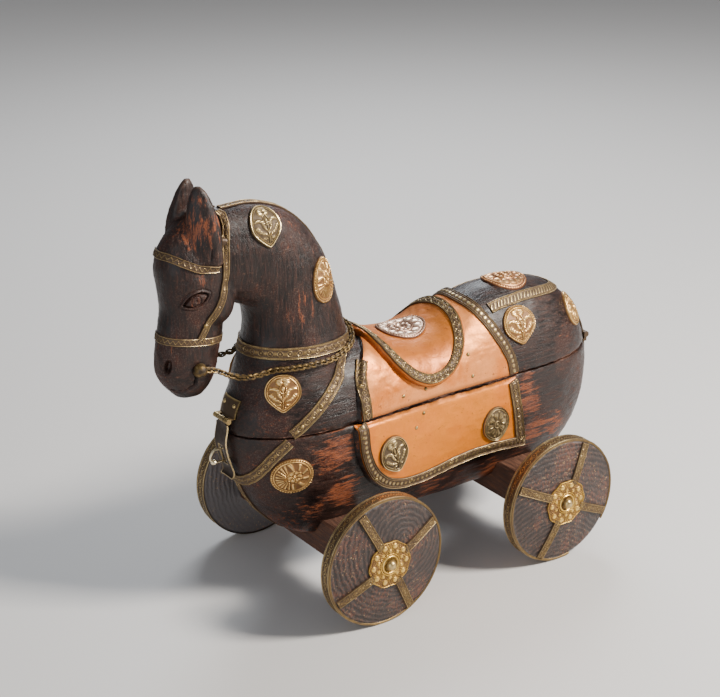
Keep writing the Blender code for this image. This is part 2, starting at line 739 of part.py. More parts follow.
lid = copy_of(lid_whole, "lid", DARK_WOOD)
boolean(lid, below, "DIFFERENCE")
boolean(lid, cavity, "DIFFERENCE")
base = copy_of(base_whole, "base", DARK_WOOD)
boolean(base, above, "DIFFERENCE")
boolean(base, cavity, "DIFFERENCE")
for place, x in axles.items():
    half = BEAM_DEPTH / 2
    boolean(base, cube(f"beam notch {place}", (x - half - FIT, -reach, 0), (x + half + FIT, reach, beam_top + FIT),
                       DARK_WOOD, True), "DIFFERENCE")
    beam = cube(f"axle_beam_{place}", (x - half, -beam_end, beam_low), (x + half, beam_end, beam_top), BEAM_WOOD,
                bevel=1.2)
    for side in (1, -1):
        hole = cylinder(f"nail hole {place} {side}", (x, side * (beam_end - 8), WHEEL_RADIUS), NAIL_SHANK + FIT,
                        20, "y", BEAM_WOOD, 8, True)
        boolean(beam, hole, "DIFFERENCE")


# Wheels: a turned wooden disc with a brass rim, four brass spokes and a rosette, turning on a nail
def wheel(place, x, side):
    label = f"{place}_{'left' if side > 0 else 'right'}"
    centre = (x, side * wheel_y, WHEEL_RADIUS)
    corner = 1 / math.cos(math.pi / WHEEL_SIDES)
    wood = WHEEL_RADIUS * corner - RIM_THICK - FIT
    bore = NAIL_SHANK + BORE_CLEAR
    dome = wheel_half + WHEEL_DOME
    turned(f"wheel_{label}_disc", [(bore, dome), (ROSETTE_RADIUS, dome - 0.35), (wood, wheel_half),
                                   (wood, -wheel_half),
                                   (bore, -wheel_half)], WHEEL_SIDES, centre, side, WHEEL_WOOD)
    rim_in, rim_out = wood + FIT, WHEEL_RADIUS * corner
    lip = wheel_half + FIT
    brass = turned(f"wheel_{label}_brass", [(rim_in, -wheel_half + 0.4), (rim_in, lip), (wood - 2.2, lip),
                                            (wood - 2.2, lip + RIM_THICK), (rim_out, lip + RIM_THICK),
                                            (rim_out, -wheel_half + 0.4)], WHEEL_SIDES, centre, side, BRASS)
    face = turned(f"rosette {label}", [(bore + 0.3, dome + FIT), (bore + 0.3, dome + 1.7),
                                       (ROSETTE_RADIUS, dome + 1.0), (ROSETTE_RADIUS, dome + FIT)], 14,
                  centre, side, BRIGHT_BRASS, True)
    boolean(brass, face, "UNION")
    for i in range(4):
        a = math.radians(SPOKE_TURNS[label] + 90 * i)
        points = []
        for r in (ROSETTE_RADIUS - 1.5, wood - 1.0):
            drop = dome - (WHEEL_DOME * (max(r - ROSETTE_RADIUS, 0) / (wood - ROSETTE_RADIUS))) + FIT + 0.1
            for w in (-SPOKE_WIDTH / 2, SPOKE_WIDTH / 2):
                points.append(Vector((x + r * math.cos(a) - w * math.sin(a), side * (wheel_y + drop),
                                      WHEEL_RADIUS + r * math.sin(a) + w * math.cos(a))))
        out = [Vector((0, side, 0))] * len(points)
        spoke = thin_piece(f"spoke {label} {i}", points, grid_faces(2, 2), out, 0.75, BRASS, True)
        boolean(brass, spoke, "UNION")
    turned(f"wheel_{label}_nail", [(0, dome + 4.6), (NAIL_HEAD * 0.7, dome + 4.0), (NAIL_HEAD, dome + 2.2),
                                   (NAIL_SHANK, dome + 2.2), (NAIL_SHANK, dome + 2.2 - NAIL_LENGTH),
                                   (0, dome + 2.2 - NAIL_LENGTH)], 8, centre, side, BRIGHT_BRASS)


for place, x in axles.items():
    for side in (1, -1):
        wheel(place, x, side)

# Copper sheets over the carved saddle
def sheet(name, points, faces, skin, thick=SHEET_THICK):
    laid, normals = skin.lay(points, faces, LAY)
    return thin_piece(name, laid, faces, normals, thick, COPPER)


def seam_degrees(height):
    """The angle on the barrel at which its side reaches a height."""
    return math.degrees(math.atan2(height - BARREL_AXIS, BODY_HALF_WIDTH))


cloth_low = seam_degrees(SEAM_HEIGHT + EDGE_GAP + 0.6)
cloth_sheet = sheet("saddle_cloth_lid", cloth_grid(lid_skin, cloth_low, 180 - cloth_low, 14, 6, 0.012),
                    grid_faces(14, 6), lid_skin)
cloth_skin = Skin(lid_whole, cloth_sheet)
seat = sheet("seat", *seat_grid(lid_skin, SEAT_SIZES, SEAT_TURNS), cloth_skin, SEAT_THICK)
for side, hand in ((1, "left"), (-1, "right")):
    sheet(f"saddle_panel_{hand}", panel_grid(side, base_skin, SEAM_HEIGHT - EDGE_GAP, 4, 0.7),
          grid_faces(4, len(PANEL_EDGE)), base_skin)
top_skin = Skin(lid_whole, cloth_sheet, seat)
panel_skin = Skin(base_whole, bpy.data.objects["saddle_panel_left"], bpy.data.objects["saddle_panel_right"])


# Brass strips
def border(name, outline, side, skin):
    """A strip that follows an outline in the side view, just inside it."""
    near, far = inset(outline, 1.0), inset(outline, 1.0 + STRAP_WIDTH)
    for line in (near, far):
        line[0] = (line[0][0], outline[0][1])
        line[-1] = (line[-1][0], outline[-1][1])
    points = [side_point(x, z, side, skin) for pair in zip(near, far) for x, z in pair]
    faces = grid_faces(len(outline), 2)
    laid, normals = skin.lay(points, faces, STRAP_LAY)
    return thin_piece(name, laid, faces, normals, STRAP_THICK, BRASS)


strap("crest_strip", above_seam([(47, 0, COLLAR_RISE + 9.5), (53, 0, 76), (66, 0, 103), (84, 0, 120),
                                 (106, 0, 128), (121, 0, 129)]), CREST_WIDTH, lid_skin)
collar = []
for i in range(12):
    a = math.tau * i / 12
    collar.append((76 + 34 * math.cos(a), 25 * math.sin(a), COLLAR_RISE + 1.5 * math.cos(a)))
strap("collar_strip", above_seam(collar), STRAP_WIDTH, lid_skin, closed=True, step=7.5)

rim_points = []
for i in range(2 * SEAT_TURNS):
    rim_points.append([seat_point(size, 180 * i / SEAT_TURNS, lid_skin) for size in (0.83, 0.985)])
rim_faces = grid_faces(2 * SEAT_TURNS, 2, True)
laid, normals = top_skin.lay([p for pair in rim_points for p in pair], rim_faces, LAY)
seat_rim = thin_piece("seat_rim", laid, rim_faces, normals, STRAP_THICK, BRASS)

for side, hand in ((1, "left"), (-1, "right")):
    breast_lid = [(60, 26, COLLAR_RISE - 10.5), (68, 28, 24), (80, 31, 14.5), (94, 31, 4), (97, 29, EDGE_GAP + 1.5)]
    strap(f"breast_strap_lid_{hand}", above_seam(breast_lid, side), STRAP_WIDTH, lid_skin)
    front_x = CLOTH_FRONT - STRAP_INSET
    saddle_front = [(front_x, 34, EDGE_GAP + 1), (front_x, 34, 19), (front_x - 2, 30, COLLAR_RISE - 12.5)]
    strap(f"saddle_front_strip_{hand}", above_seam(saddle_front, side), STRAP_WIDTH, top_skin)
    border(f"panel_border_{hand}", panel_outline(SEAM_HEIGHT - EDGE_GAP), side, panel_skin)
breast = [(98, 28.5, -EDGE_GAP - 1.5), (105.5, 22, -12), (110, 14, -22.5), (112.5, 7, -27.5), (113.5, 0, -29)]
breast += [(x, -y, z) for x, y, z in breast[-2::-1]]
breast_strap = strap("breast_strap_base", above_seam(breast), STRAP_WIDTH, base_skin)
keel_line = above_seam([(113, 0, -30), (109, 0, -40), (104, 0, -48), (96, 0, -57)])
keel_line.append((WHEEL_BASE / 2 + BEAM_DEPTH / 2 + 3, 0, BELLY_HEIGHT + 4.5))
keel = strap("keel strip", keel_line, CREST_WIDTH, base_skin, hidden=True)
boolean(breast_strap, keel, "UNION")
rear_route = []
for degrees in (cloth_low + 1, 20, 45, 70, 90, 110, 135, 160, 179 - cloth_low):
    rear_route.append(ring_point(cloth_edges(degrees)[1] + STRAP_INSET, degrees, lid_skin))
strap("saddle_rear_strap", rear_route, STRAP_WIDTH, top_skin)
crupper = [(-46, 20.5, 41), (-58, 20.3, 43), (-72, 19, 43), (-86, 16, 41), (-98, 10, 37), (-105, 0, 35)]
crupper += [(x, -y, z) for x, y, z in crupper[-2::-1]]
strap("crupper_strap", above_seam(crupper), STRAP_WIDTH, lid_skin)

# Bridle
noseband = []
for i in range(12):
    a = math.tau * i / 12
    noseband.append((142 + 19 * math.cos(a), 13 * math.sin(a), 60.5 + 3 * math.cos(a)))
strap("noseband", above_seam(noseband), BRIDLE_WIDTH, lid_skin, closed=True, step=6)
for side, hand in ((1, "left"), (-1, "right")):
    cheek = [(122.5, 6, 130), (124.5, 11, 119), (126, 14, 104), (127, 14, 92), (130, 14, 82), (135, 14, 73),
             (138, 13, 66.5)]
    strap(f"cheek_strap_{hand}", above_seam(cheek, side), BRIDLE_WIDTH, lid_skin, step=6)
brow = [(131, 16, 100.5), (141, 16, 101.5), (149, 12, 105), (154, 6, 107.5), (156, 0, 108)]
brow += [(x, -y, z) for x, y, z in brow[-2::-1]]
strap("browband", above_seam(brow), BRIDLE_WIDTH, lid_skin, step=5)

# Medallions
surfaces = {"lid": lid_skin, "base": base_skin, "panel": panel_skin}
for label, centre, long_side, short_side, turn, leaf, surface in PAIRS:
    for side, hand in ((1, "left"), (-1, "right")):
        medallion(f"medallion_{label}_{hand}", on_side(centre, side), surfaces[surface], long_side, short_side, side * turn, leaf)
medallion("medallion_seat", on_side((4, 0, 34), 1), Skin(seat, lid_whole), 29, 27, 0, sides=14)
medallion("medallion_rump_top", on_side((-71, 0, 50), 1), lid_skin, 28, 26, 0, sides=14)


# The rein chain hangs from one boss, passes round the neck and returns to the other. Its far side hangs lower.
dressed = Skin(lid_whole, cloth_sheet, seat, seat_rim, *(bpy.data.objects[n] for n in (
    "collar_strip", "breast_strap_lid_left", "breast_strap_lid_right", "saddle_front_strip_left",
    "saddle_front_strip_right", "crest_strip")))
halves = []
boss_z = SEAM_HEIGHT + BOSS[1]
for side, slack in ((1, 0.0), (-1, 5.0)):
    boss_y = abs(side_point(BOSS[0], boss_z, side, lid_skin).y)
    half = [(BOSS[0] - 1, boss_y + 2.4, boss_z), (BOSS[0] - 7, boss_y + 3.0, boss_z - slack * 0.3),
            (131, boss_y + 3.2, boss_z - 1 - slack * 0.7), (124.5, 16.5, boss_z - 3.5 - slack),
            (117, 20.5, boss_z - 5 - slack * 0.6)]
    for x, y, below in ((106, 24, 5.5), (94, 26, 6.5), (80, 27, 6.5), (66, 24, 6.5), (55, 18, 4.5), (47, 9, 1.5),
                        (43.5, 0, -1.5)):
        near = dressed.nearest(on_side((x, y, COLLAR_RISE - below), 1))
        normal = dressed.facing(near)
        half.append(tuple(near + normal * (dressed.height(near, normal) + LAY + CHAIN_RADIUS + 0.3)))
    halves.append([(x, side * y, z) for x, y, z in half])
route = halves[0] + halves[1][-2::-1]
rings = []
spine = dressed.push_clear(smooth_path(route, CHAIN_PITCH), CHAIN_RADIUS + LAY + 0.2)
for i, point in enumerate(spine):
    ahead, behind = spine[min(i + 1, len(spine) - 1)], spine[max(i - 1, 0)]
    forward = (ahead - behind).normalized()
    aside = forward.cross(Vector((0, 0, 1))).normalized()
    lift = aside.cross(forward)
    thick = CHAIN_RADIUS * (1.0 if i % 2 else 0.68)
    turns = [math.tau * k / 4 for k in range(4)]
    rings.append([tuple(point + (aside * math.cos(a) + lift * math.sin(a)) * thick) for a in turns])
chain = ring_loft("rein_chain", rings, BRASS)
for side in (1, -1):
    flat = side_point(BOSS[0], boss_z, side, lid_skin)
    profile = [(0, BOSS_RISE), (BOSS_RADIUS * 0.6, BOSS_RISE - 0.5), (BOSS_RADIUS * 0.95, BOSS_RISE / 2),
               (BOSS_RADIUS, 0), (0, 0)]
    boolean(chain, turned(f"bit boss {side}", profile, 10, (BOSS[0], flat.y + side * (LAY + 0.3), boss_z), side,
                          BRIGHT_BRASS, True), "UNION")


# Hasp: a plate on the chest with a pin, and a flap that drops over a wire staple on the base
def joined(target, *others):
    for other in others:
        boolean(target, other, "UNION")


def laid_patch(name, low_y, high_y, heights, heading, start_x, skin, thick):
    """A plate bent over the front or the tail, from columns across and the given heights."""
    columns = 4
    points = []
    for z in heights:
        for j in range(columns):
            y = low_y + (high_y - low_y) * j / (columns - 1)
            points.append(skin.cast((start_x, y, z), (heading, 0, 0)))
    faces = grid_faces(len(heights), columns)
    laid, normals = skin.lay(points, faces, LAY)
    return thin_piece(name, laid, faces, normals, thick, BRASS)


hinge_z = SEAM_HEIGHT + HASP_HINGE_UP
chest_x = lid_skin.cast((200, 0, SEAM_HEIGHT + 0.5), (-1, 0, 0)).x
hinge_x = chest_x + FIT + KNUCKLE
plate = laid_patch("hasp_plate", -HASP_WIDTH * 0.65, HASP_WIDTH * 0.65,
                   (hinge_z + 1.2, hinge_z + 6, hinge_z + 11), -1, 200, lid_skin, HASP_THICK)
half_flap = HASP_WIDTH / 4
for side in (1, -1):
    tube = cylinder(f"hasp knuckle {side}", (hinge_x, side * (half_flap + FIT + 1.9), hinge_z), KNUCKLE, 3.8, "y",
                    BRASS, 8, True)
    plate_x = lid_skin.cast((200, side * (half_flap + 0.6), hinge_z + 0.2), (-1, 0, 0)).x + LAY
    web = cube(f"hasp web {side}", (plate_x + 0.1, side * (half_flap + 2) - 1.4, hinge_z + 0.2),
               (hinge_x + 0.6, side * (half_flap + 2) + 1.4, hinge_z + 3.2), BRASS, True)
    joined(plate, tube, web)
joined(plate, cylinder("hasp pin", (hinge_x, 0, hinge_z), PIN, 2 * half_flap + 6, "y", BRASS, 6, True))

flap_line = [(hinge_x + 0.5, hinge_z - 0.6)]
for drop, stand in ((6, 0.4), (13, 0.7), (20, 0.7), (26, 0.3), (31, 0.0), (34.5, 1.2), (35.5, 3.4)):
    chest = base_skin.cast((200, 0, min(hinge_z - drop, SEAM_HEIGHT)), (-1, 0, 0)).x
    flap_line.append((chest + HASP_STAND + stand, hinge_z - drop))
flap_points = [Vector((x, y, z)) for x, z in flap_line for y in (-HASP_WIDTH / 2, HASP_WIDTH / 2)]
# the first row is as wide as the knuckle between the plate's two
for k in (0, 1):
    flap_points[k].y *= 0.46
flap_faces = grid_faces(len(flap_line), 2)
flap = thin_piece("hasp", flap_points, flap_faces, [Vector((1, 0, 0))] * len(flap_points), HASP_THICK, BRASS)
joined(flap, cylinder("flap knuckle", (hinge_x, 0, hinge_z), KNUCKLE, 2 * half_flap, "y", BRASS, 8, True))
boolean(flap, cylinder("flap bore", (hinge_x, 0, hinge_z), PIN + FIT, 40, "y", BRASS, 8, True), "DIFFERENCE")
boolean(flap, cube("hasp slot", (hinge_x - 5, -SLOT_WIDTH / 2, hinge_z - SLOT_END),
                   (hinge_x + 12, SLOT_WIDTH / 2, hinge_z - SLOT_TOP), BRASS, True), "DIFFERENCE")

staple_top, staple_low = hinge_z - SLOT_TOP - 2.2, hinge_z - SLOT_END + 2.2
staple_out = chest_x + STAPLE_REACH
staple_in = chest_x - 6
bow = (staple_top - staple_low) / 2
middle_z = (staple_top + staple_low) / 2
wire = [(staple_in, staple_top)]
for i in range(7):
    a = math.pi / 2 - math.pi * i / 6
    wire.append((staple_out - bow + bow * math.cos(a), middle_z + bow * math.sin(a)))
wire.append((staple_in, staple_low))
curve = bpy.data.curves.new("staple wire", "CURVE")
curve.dimensions = "3D"
curve.bevel_depth = WIRE * MM
curve.bevel_resolution = 1
curve.use_fill_caps = True
line = curve.splines.new("POLY")
line.points.add(len(wire) - 1)
for place, (x, z) in zip(line.points, wire):
    place.co = (x * MM, 0, z * MM, 1)
finish_object(bpy.data.objects.new("hasp_staple", curve), BRASS)
for label, z in (("top", staple_top), ("low", staple_low)):
    boolean(base, cylinder(f"staple hole {label}", (staple_in + 20 - FIT, 0, z), WIRE + FIT, 40, "x", DARK_WOOD, 8,
                           True), "DIFFERENCE")

# Hinge at the tail
tail_x = lid_skin.cast((-300, 0, SEAM_HEIGHT), (1, 0, 0)).x
pin_x = tail_x - LAY - HINGE_RADIUS - 0.15
third = HINGE_WIDTH / 6
lid_leaf = laid_patch("hinge_lid_leaf", -HINGE_WIDTH / 2, HINGE_WIDTH / 2,
                      (SEAM_HEIGHT + HINGE_RADIUS + 0.6, SEAM_HEIGHT + 8, SEAM_HEIGHT + LEAF_LENGTH), 1, -300,
                      lid_skin, STRAP_THICK)
joined(lid_leaf,
       cylinder("lid knuckle", (pin_x, 0, SEAM_HEIGHT), HINGE_RADIUS, 2 * third - 2 * FIT, "y", BRASS, 10, True),
       cube("lid tab", (pin_x - 0.4, -third + FIT, SEAM_HEIGHT + 0.4),
            (tail_x - 0.35, third - FIT, SEAM_HEIGHT + HINGE_RADIUS + 1.8), BRASS, True))
boolean(lid_leaf, cylinder("lid leaf bore", (pin_x, 0, SEAM_HEIGHT), PIN + 0.3 + FIT, 40, "y", BRASS, 8, True),
        "DIFFERENCE")
base_leaf = laid_patch("hinge_base_leaf", -HINGE_WIDTH / 2, HINGE_WIDTH / 2,
                       (SEAM_HEIGHT - HINGE_RADIUS - 0.6, SEAM_HEIGHT - 8, SEAM_HEIGHT - LEAF_LENGTH), 1, -300,
                       base_skin, STRAP_THICK)
for side in (1, -1):
    y = side * (2 * third + FIT / 2)
    joined(base_leaf,
           cylinder(f"base knuckle {side}", (pin_x, y, SEAM_HEIGHT), HINGE_RADIUS, 2 * third - FIT, "y", BRASS, 10,
                    True),
           cube(f"base tab {side}", (pin_x - 0.4, y - third + 0.4, SEAM_HEIGHT - HINGE_RADIUS - 2.2),
                (tail_x - 0.9, y + third - 0.4, SEAM_HEIGHT - 0.4), BRASS, True))
joined(base_leaf, cylinder("hinge pin", (pin_x, 0, SEAM_HEIGHT), PIN + 0.3, HINGE_WIDTH - 1, "y", BRASS, 8, True))

# The origin goes under the middle of the whole length
bpy.context.view_layer.update()
graph = bpy.context.evaluated_depsgraph_get()
ends = []
for one in parts.objects:
    ends += [(one.matrix_world @ vertex.co).x for vertex in one.evaluated_get(graph).to_mesh().vertices]
for one in bpy.data.objects:
    one.location.x -= (min(ends) + max(ends)) / 2
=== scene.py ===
import json
import math

import bpy
import numpy as np
from mathutils import Matrix, Vector, noise
from mathutils.bvhtree import BVHTree

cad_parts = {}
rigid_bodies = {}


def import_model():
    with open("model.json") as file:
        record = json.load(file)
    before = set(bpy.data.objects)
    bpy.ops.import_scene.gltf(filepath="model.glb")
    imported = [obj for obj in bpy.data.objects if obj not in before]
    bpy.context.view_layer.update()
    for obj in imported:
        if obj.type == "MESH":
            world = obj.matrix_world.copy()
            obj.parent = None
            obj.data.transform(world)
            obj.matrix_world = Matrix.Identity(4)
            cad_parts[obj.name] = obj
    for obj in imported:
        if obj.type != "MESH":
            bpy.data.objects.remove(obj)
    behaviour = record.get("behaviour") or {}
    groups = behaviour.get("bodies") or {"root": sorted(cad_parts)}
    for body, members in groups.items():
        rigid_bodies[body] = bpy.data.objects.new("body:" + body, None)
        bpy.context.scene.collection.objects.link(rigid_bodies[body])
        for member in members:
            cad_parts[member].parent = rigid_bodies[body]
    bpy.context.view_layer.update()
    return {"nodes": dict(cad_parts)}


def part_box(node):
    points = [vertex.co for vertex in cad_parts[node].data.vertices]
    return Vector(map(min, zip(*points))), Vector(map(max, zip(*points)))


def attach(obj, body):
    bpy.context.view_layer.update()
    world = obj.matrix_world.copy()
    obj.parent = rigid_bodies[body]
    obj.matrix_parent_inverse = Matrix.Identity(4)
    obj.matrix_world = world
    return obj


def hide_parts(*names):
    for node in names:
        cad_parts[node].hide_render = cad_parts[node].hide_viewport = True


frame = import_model()
mm = 0.001
# Lengths below are millimetres, counted from the middle between the axles. The frame's origin is a little ahead of it.
low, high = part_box("axle_beam_front")
shift = Vector(((low[0] + high[0]) / 2 / mm - 63.0, 0, 0))
finished = []

# Camera and light
view = {"place": (599.808, 801.663, 541.786), "right": (-0.81592266, 0.57816106, 0.0),
        "up": (-0.22225133, -0.31364944, 0.92316216), "back": (0.53373641, 0.75322893, 0.38441075), "lens": 95}
lamps = {"key": {"from": (-520, 620, 760), "size": 240, "watts": 25, "colour": (1.0, 0.95, 0.88)},
         "fill": {"from": (1100, 700, 450), "size": 900, "watts": 5, "colour": (0.92, 0.96, 1.0)},
         "rim": {"from": (-500, -700, 800), "size": 500, "watts": 9, "colour": (0.9, 0.95, 1.0)},
         "sky": 0.3}

cameraData = bpy.data.cameras.new("camera")
cameraData.lens, cameraData.sensor_width = view["lens"], 36
camera = bpy.data.objects.new("camera", cameraData)
turn = Matrix((view["right"], view["up"], view["back"])).transposed().to_4x4()
camera.matrix_world = Matrix.Translation((Vector(view["place"]) + shift) * mm) @ turn
bpy.context.scene.collection.objects.link(camera)
bpy.context.scene.camera = camera


def deselect():
    if bpy.context.mode != "OBJECT":
        bpy.ops.object.mode_set(mode="OBJECT")
    bpy.ops.object.select_all(action="DESELECT")


for label in ("key", "fill", "rim"):
    lamp = lamps[label]
    data = bpy.data.lights.new(label, "AREA")
    data.energy, data.size, data.color = lamp["watts"], lamp["size"] * mm, lamp["colour"]
    made = bpy.data.objects.new(label, data)
    made.location = (Vector(lamp["from"]) + shift) * mm
    made.rotation_euler = (Vector((0, 0, 90)) - Vector(lamp["from"])).to_track_quat("-Z", "Y").to_euler()
    bpy.context.scene.collection.objects.link(made)
world = bpy.data.worlds.new("soft room")
world.use_nodes = True
world.node_tree.nodes["Background"].inputs["Color"].default_value = (0.86, 0.9, 0.96, 1)
world.node_tree.nodes["Background"].inputs["Strength"].default_value = lamps["sky"]
bpy.context.scene.world = world
print("camera and light")


# Shader maths: one class wraps a socket, so that sums and products add Math nodes
class Wave:
    def __init__(self, look, socket):
        self.look, self.socket = look, socket

    def __add__(self, other):
        return self.look.maths("ADD", self, other)

    def __sub__(self, other):
        return self.look.maths("SUBTRACT", self, other)

    def __rsub__(self, other):
        return self.look.maths("SUBTRACT", other, self)

    def __mul__(self, other):
        return self.look.maths("MULTIPLY", self, other)

    def __pow__(self, other):
        return self.look.maths("POWER", self, other)

    __radd__ = __add__
    __rmul__ = __mul__


class Look:
    def __init__(self, name):
        self.material = bpy.data.materials.new(name)
        self.material.use_nodes = True
        self.tree = self.material.node_tree
        self.shader = self.tree.nodes["Principled BSDF"]

    def node(self, kind, settings, sockets, out=0):
        made = self.tree.nodes.new("ShaderNode" + kind)
        for key, value in settings.items():
            if key == "stops":
                ramp = made.color_ramp
                while len(ramp.elements) < len(value):
                    ramp.elements.new(0.5)
                for element, (place, colour) in zip(ramp.elements, value):
                    element.position, element.color = place, (*colour, 1)
            else:
                setattr(made, key, value)
        for key, value in sockets.items():
            if isinstance(value, Wave):
                self.tree.links.new(value.socket, made.inputs[key])
            else:
                made.inputs[key].default_value = value
        return Wave(self, made.outputs[out])

    def maths(self, operation, a, b=0.0, clamp=False):
        return self.node("Math", {"operation": operation, "use_clamp": clamp}, {0: a, 1: b})

    def place(self):
        return self.node("TexCoord", {}, {}, "Object")

    def stretched(self, scale, turn=(0, 0, 0), shift=(0, 0, 0)):
        return self.node("Mapping", {}, {"Vector": self.place(), "Scale": scale, "Rotation": turn, "Location": shift})

    def speckle(self, scale, detail=4.0, rough=0.55, vector=None, warp=0.0):
        return self.node("TexNoise", {}, {"Vector": vector or self.place(), "Scale": scale, "Detail": detail,
                                          "Roughness": rough, "Distortion": warp})

    def between(self, value, low, high, start=0.0, end=1.0):
        return self.node("MapRange", {"clamp": True, "interpolation_type": "SMOOTHSTEP"},
                         {"Value": value, "From Min": low, "From Max": high, "To Min": start, "To Max": end})

    def paint(self, share, a, b, how="MIX"):
        made = {0: share, 6: a if isinstance(a, Wave) else (*a, 1), 7: b if isinstance(b, Wave) else (*b, 1)}
        return self.node("Mix", {"data_type": "RGBA", "blend_type": how}, made, 2)

    def blend(self, share, a, b):
        return a + (b - a) * share

    def attribute(self, name):
        return self.node("Attribute", {"attribute_name": name}, {}, "Fac")

    def bump(self, height, strength, depth, under=None):
        sockets = {"Height": height, "Strength": strength, "Distance": depth * mm}
        if under:
            sockets["Normal"] = under
        return self.node("Bump", {}, sockets)

    def finish(self, **sockets):
        for key, value in sockets.items():
            socket = self.shader.inputs[key.replace("_", " ")]
            if isinstance(value, Wave):
                self.tree.links.new(value.socket, socket)
            else:
                socket.default_value = value
        return self.material


def horseWood():
    look = Look("dark carved wood")
    split = look.node("SeparateXYZ", {}, {"Vector": look.place()}, "Z")
    ahead = look.node("SeparateXYZ", {}, {"Vector": look.place()}, "X")
    upright = look.between(split, 0.148, 0.162) * look.between(ahead, 0.03 + shift.x * mm, 0.05 + shift.x * mm)
    lengthwise = look.speckle(1.0, 8, 0.66, look.stretched((62, 620, 620)), 0.35)
    standing = look.speckle(1.0, 8, 0.66, look.stretched((600, 600, 75)), 0.35)
    grain = look.blend(upright, lengthwise, standing)
    fineAlong = look.speckle(1.0, 4, 0.6, look.stretched((260, 3600, 3600)))
    fineUp = look.speckle(1.0, 4, 0.6, look.stretched((3600, 3600, 300)))
    fine = look.blend(upright, fineAlong, fineUp)
    cloud = look.speckle(38, 5, 0.6)
    fleck = look.between(look.speckle(420, 3, 0.7), 0.6, 0.72)
    edge, worn, lip = look.attribute("edge"), look.attribute("worn"), look.attribute("lip")
    tone = look.node("ValToRGB", {"stops": [(0.32, (0.0018, 0.0009, 0.0007)), (0.46, (0.0075, 0.0028, 0.0018)),
                                            (0.57, (0.024, 0.0075, 0.0042)), (0.7, (0.085, 0.028, 0.014))]},
                     {"Fac": grain * 0.7 + fine * 0.22 + cloud * 0.08})
    redder = look.paint(look.between(cloud, 0.45, 0.68, 0.0, 0.6), tone, (0.04, 0.008, 0.0035))
    dusty = look.paint(look.between(edge + (fine - 0.5) * 0.7, 0.45, 0.95, 0.0, 0.35), redder, (0.13, 0.07, 0.045))
    rubbed = look.between(worn + (grain - 0.5) * 2.6 + (cloud - 0.5) * 1.6 + (fine - 0.5) * 0.6, 0.42, 0.82)
    orange = look.paint(look.between(fine + (grain - 0.5) * 0.8, 0.4, 0.7), (0.07, 0.016, 0.006), (0.3, 0.078, 0.022))
    bared = look.paint(rubbed * 0.9, dusty, orange)
    chipped = look.between(lip + (fine - 0.5) * 1.1 + (cloud - 0.5) * 0.9, 0.5, 0.85)
    final = look.paint(chipped * 0.8, bared, (0.36, 0.17, 0.11))
    final = look.paint(fleck * 0.2, final, (0.24, 0.11, 0.06))
    dust = look.between(look.speckle(1500, 3, 0.6), 0.5, 0.68) * look.between(cloud + (grain - 0.5) * 0.4, 0.42, 0.62)
    final = look.paint(dust * 0.3, final, (0.2, 0.15, 0.115))
    # painted shade: near black where the wood sinks below its neighbours, in grooves and hollows
    final = look.paint(look.between(edge, -0.25, -0.8), final, (0.004, 0.002, 0.002))
    relief = look.bump(grain, 0.75, 0.6)
    relief = look.bump(fine, 0.6, 0.25, relief)
    return look.finish(Base_Color=final, Roughness=look.between(grain + (cloud - 0.5) * 0.6, 0.3, 0.7, 0.3, 0.6),
                       Normal=relief, Coat_Weight=look.between(cloud, 0.3, 0.7, 0.16, 0.04), Coat_Roughness=0.3,
                       Specular_IOR_Level=0.32)


def wheelWood(name, shift):
    look = Look(name)
    centred = look.stretched((1, 0.35, 1), (0, 0.5, 0), tuple(c * mm for c in shift))
    rings = look.node("TexWave", {"wave_type": "RINGS", "rings_direction": "Y", "wave_profile": "SIN"},
                      {"Vector": centred, "Scale": 105, "Distortion": 5.0, "Detail": 4, "Detail Scale": 1.6,
                       "Detail Roughness": 0.6})
    fibre = look.speckle(1.0, 5, 0.65, look.stretched((900, 300, 520)))
    cloud = look.speckle(45, 4, 0.6)
    edge = look.attribute("edge")
    tone = look.node("ValToRGB", {"stops": [(0.22, (0.006, 0.004, 0.0038)), (0.44, (0.02, 0.0125, 0.0105)),
                                            (0.62, (0.052, 0.031, 0.024)), (0.8, (0.15, 0.085, 0.055))]},
                     {"Fac": rings * 0.2 + fibre * 0.6 + cloud * 0.18})
    warm = look.paint(look.between(cloud + (fibre - 0.5) * 1.2, 0.52, 0.74, 0.0, 0.6), tone, (0.13, 0.04, 0.019))
    # painted sheen: a pale grey laid on the disc's rounded edges, standing for light glancing off them
    withPaintedSheen = look.paint(look.between(edge + (fibre - 0.5) * 0.5, 0.25, 0.7, 0.0, 0.75), warm, (0.15, 0.135, 0.135))
    flecks = look.between(look.speckle(850, 2, 0.6), 0.62, 0.7) * look.between(cloud, 0.4, 0.6)
    withPaintedSheen = look.paint(flecks * 0.7, withPaintedSheen, (0.42, 0.26, 0.12))
    relief = look.bump(rings * 0.75 + fibre * 0.6, 0.75, 0.5)
    return look.finish(Base_Color=withPaintedSheen, Roughness=look.between(fibre, 0.3, 0.7, 0.42, 0.66), Normal=relief,
                       Coat_Weight=0.12, Coat_Roughness=0.4)


def beamWood():
    look = Look("rough beam wood")
    grain = look.speckle(1.0, 8, 0.7, look.stretched((900, 70, 900)), 0.3)
    cloud = look.speckle(50, 4, 0.6)
    tone = look.node("ValToRGB", {"stops": [(0.32, (0.02, 0.008, 0.005)), (0.5, (0.07, 0.027, 0.014)),
                                            (0.72, (0.24, 0.1, 0.05))]}, {"Fac": grain * 0.8 + cloud * 0.2})
    return look.finish(Base_Color=tone, Roughness=look.between(grain, 0.3, 0.7, 0.55, 0.8),
                       Normal=look.bump(grain, 0.8, 0.7))


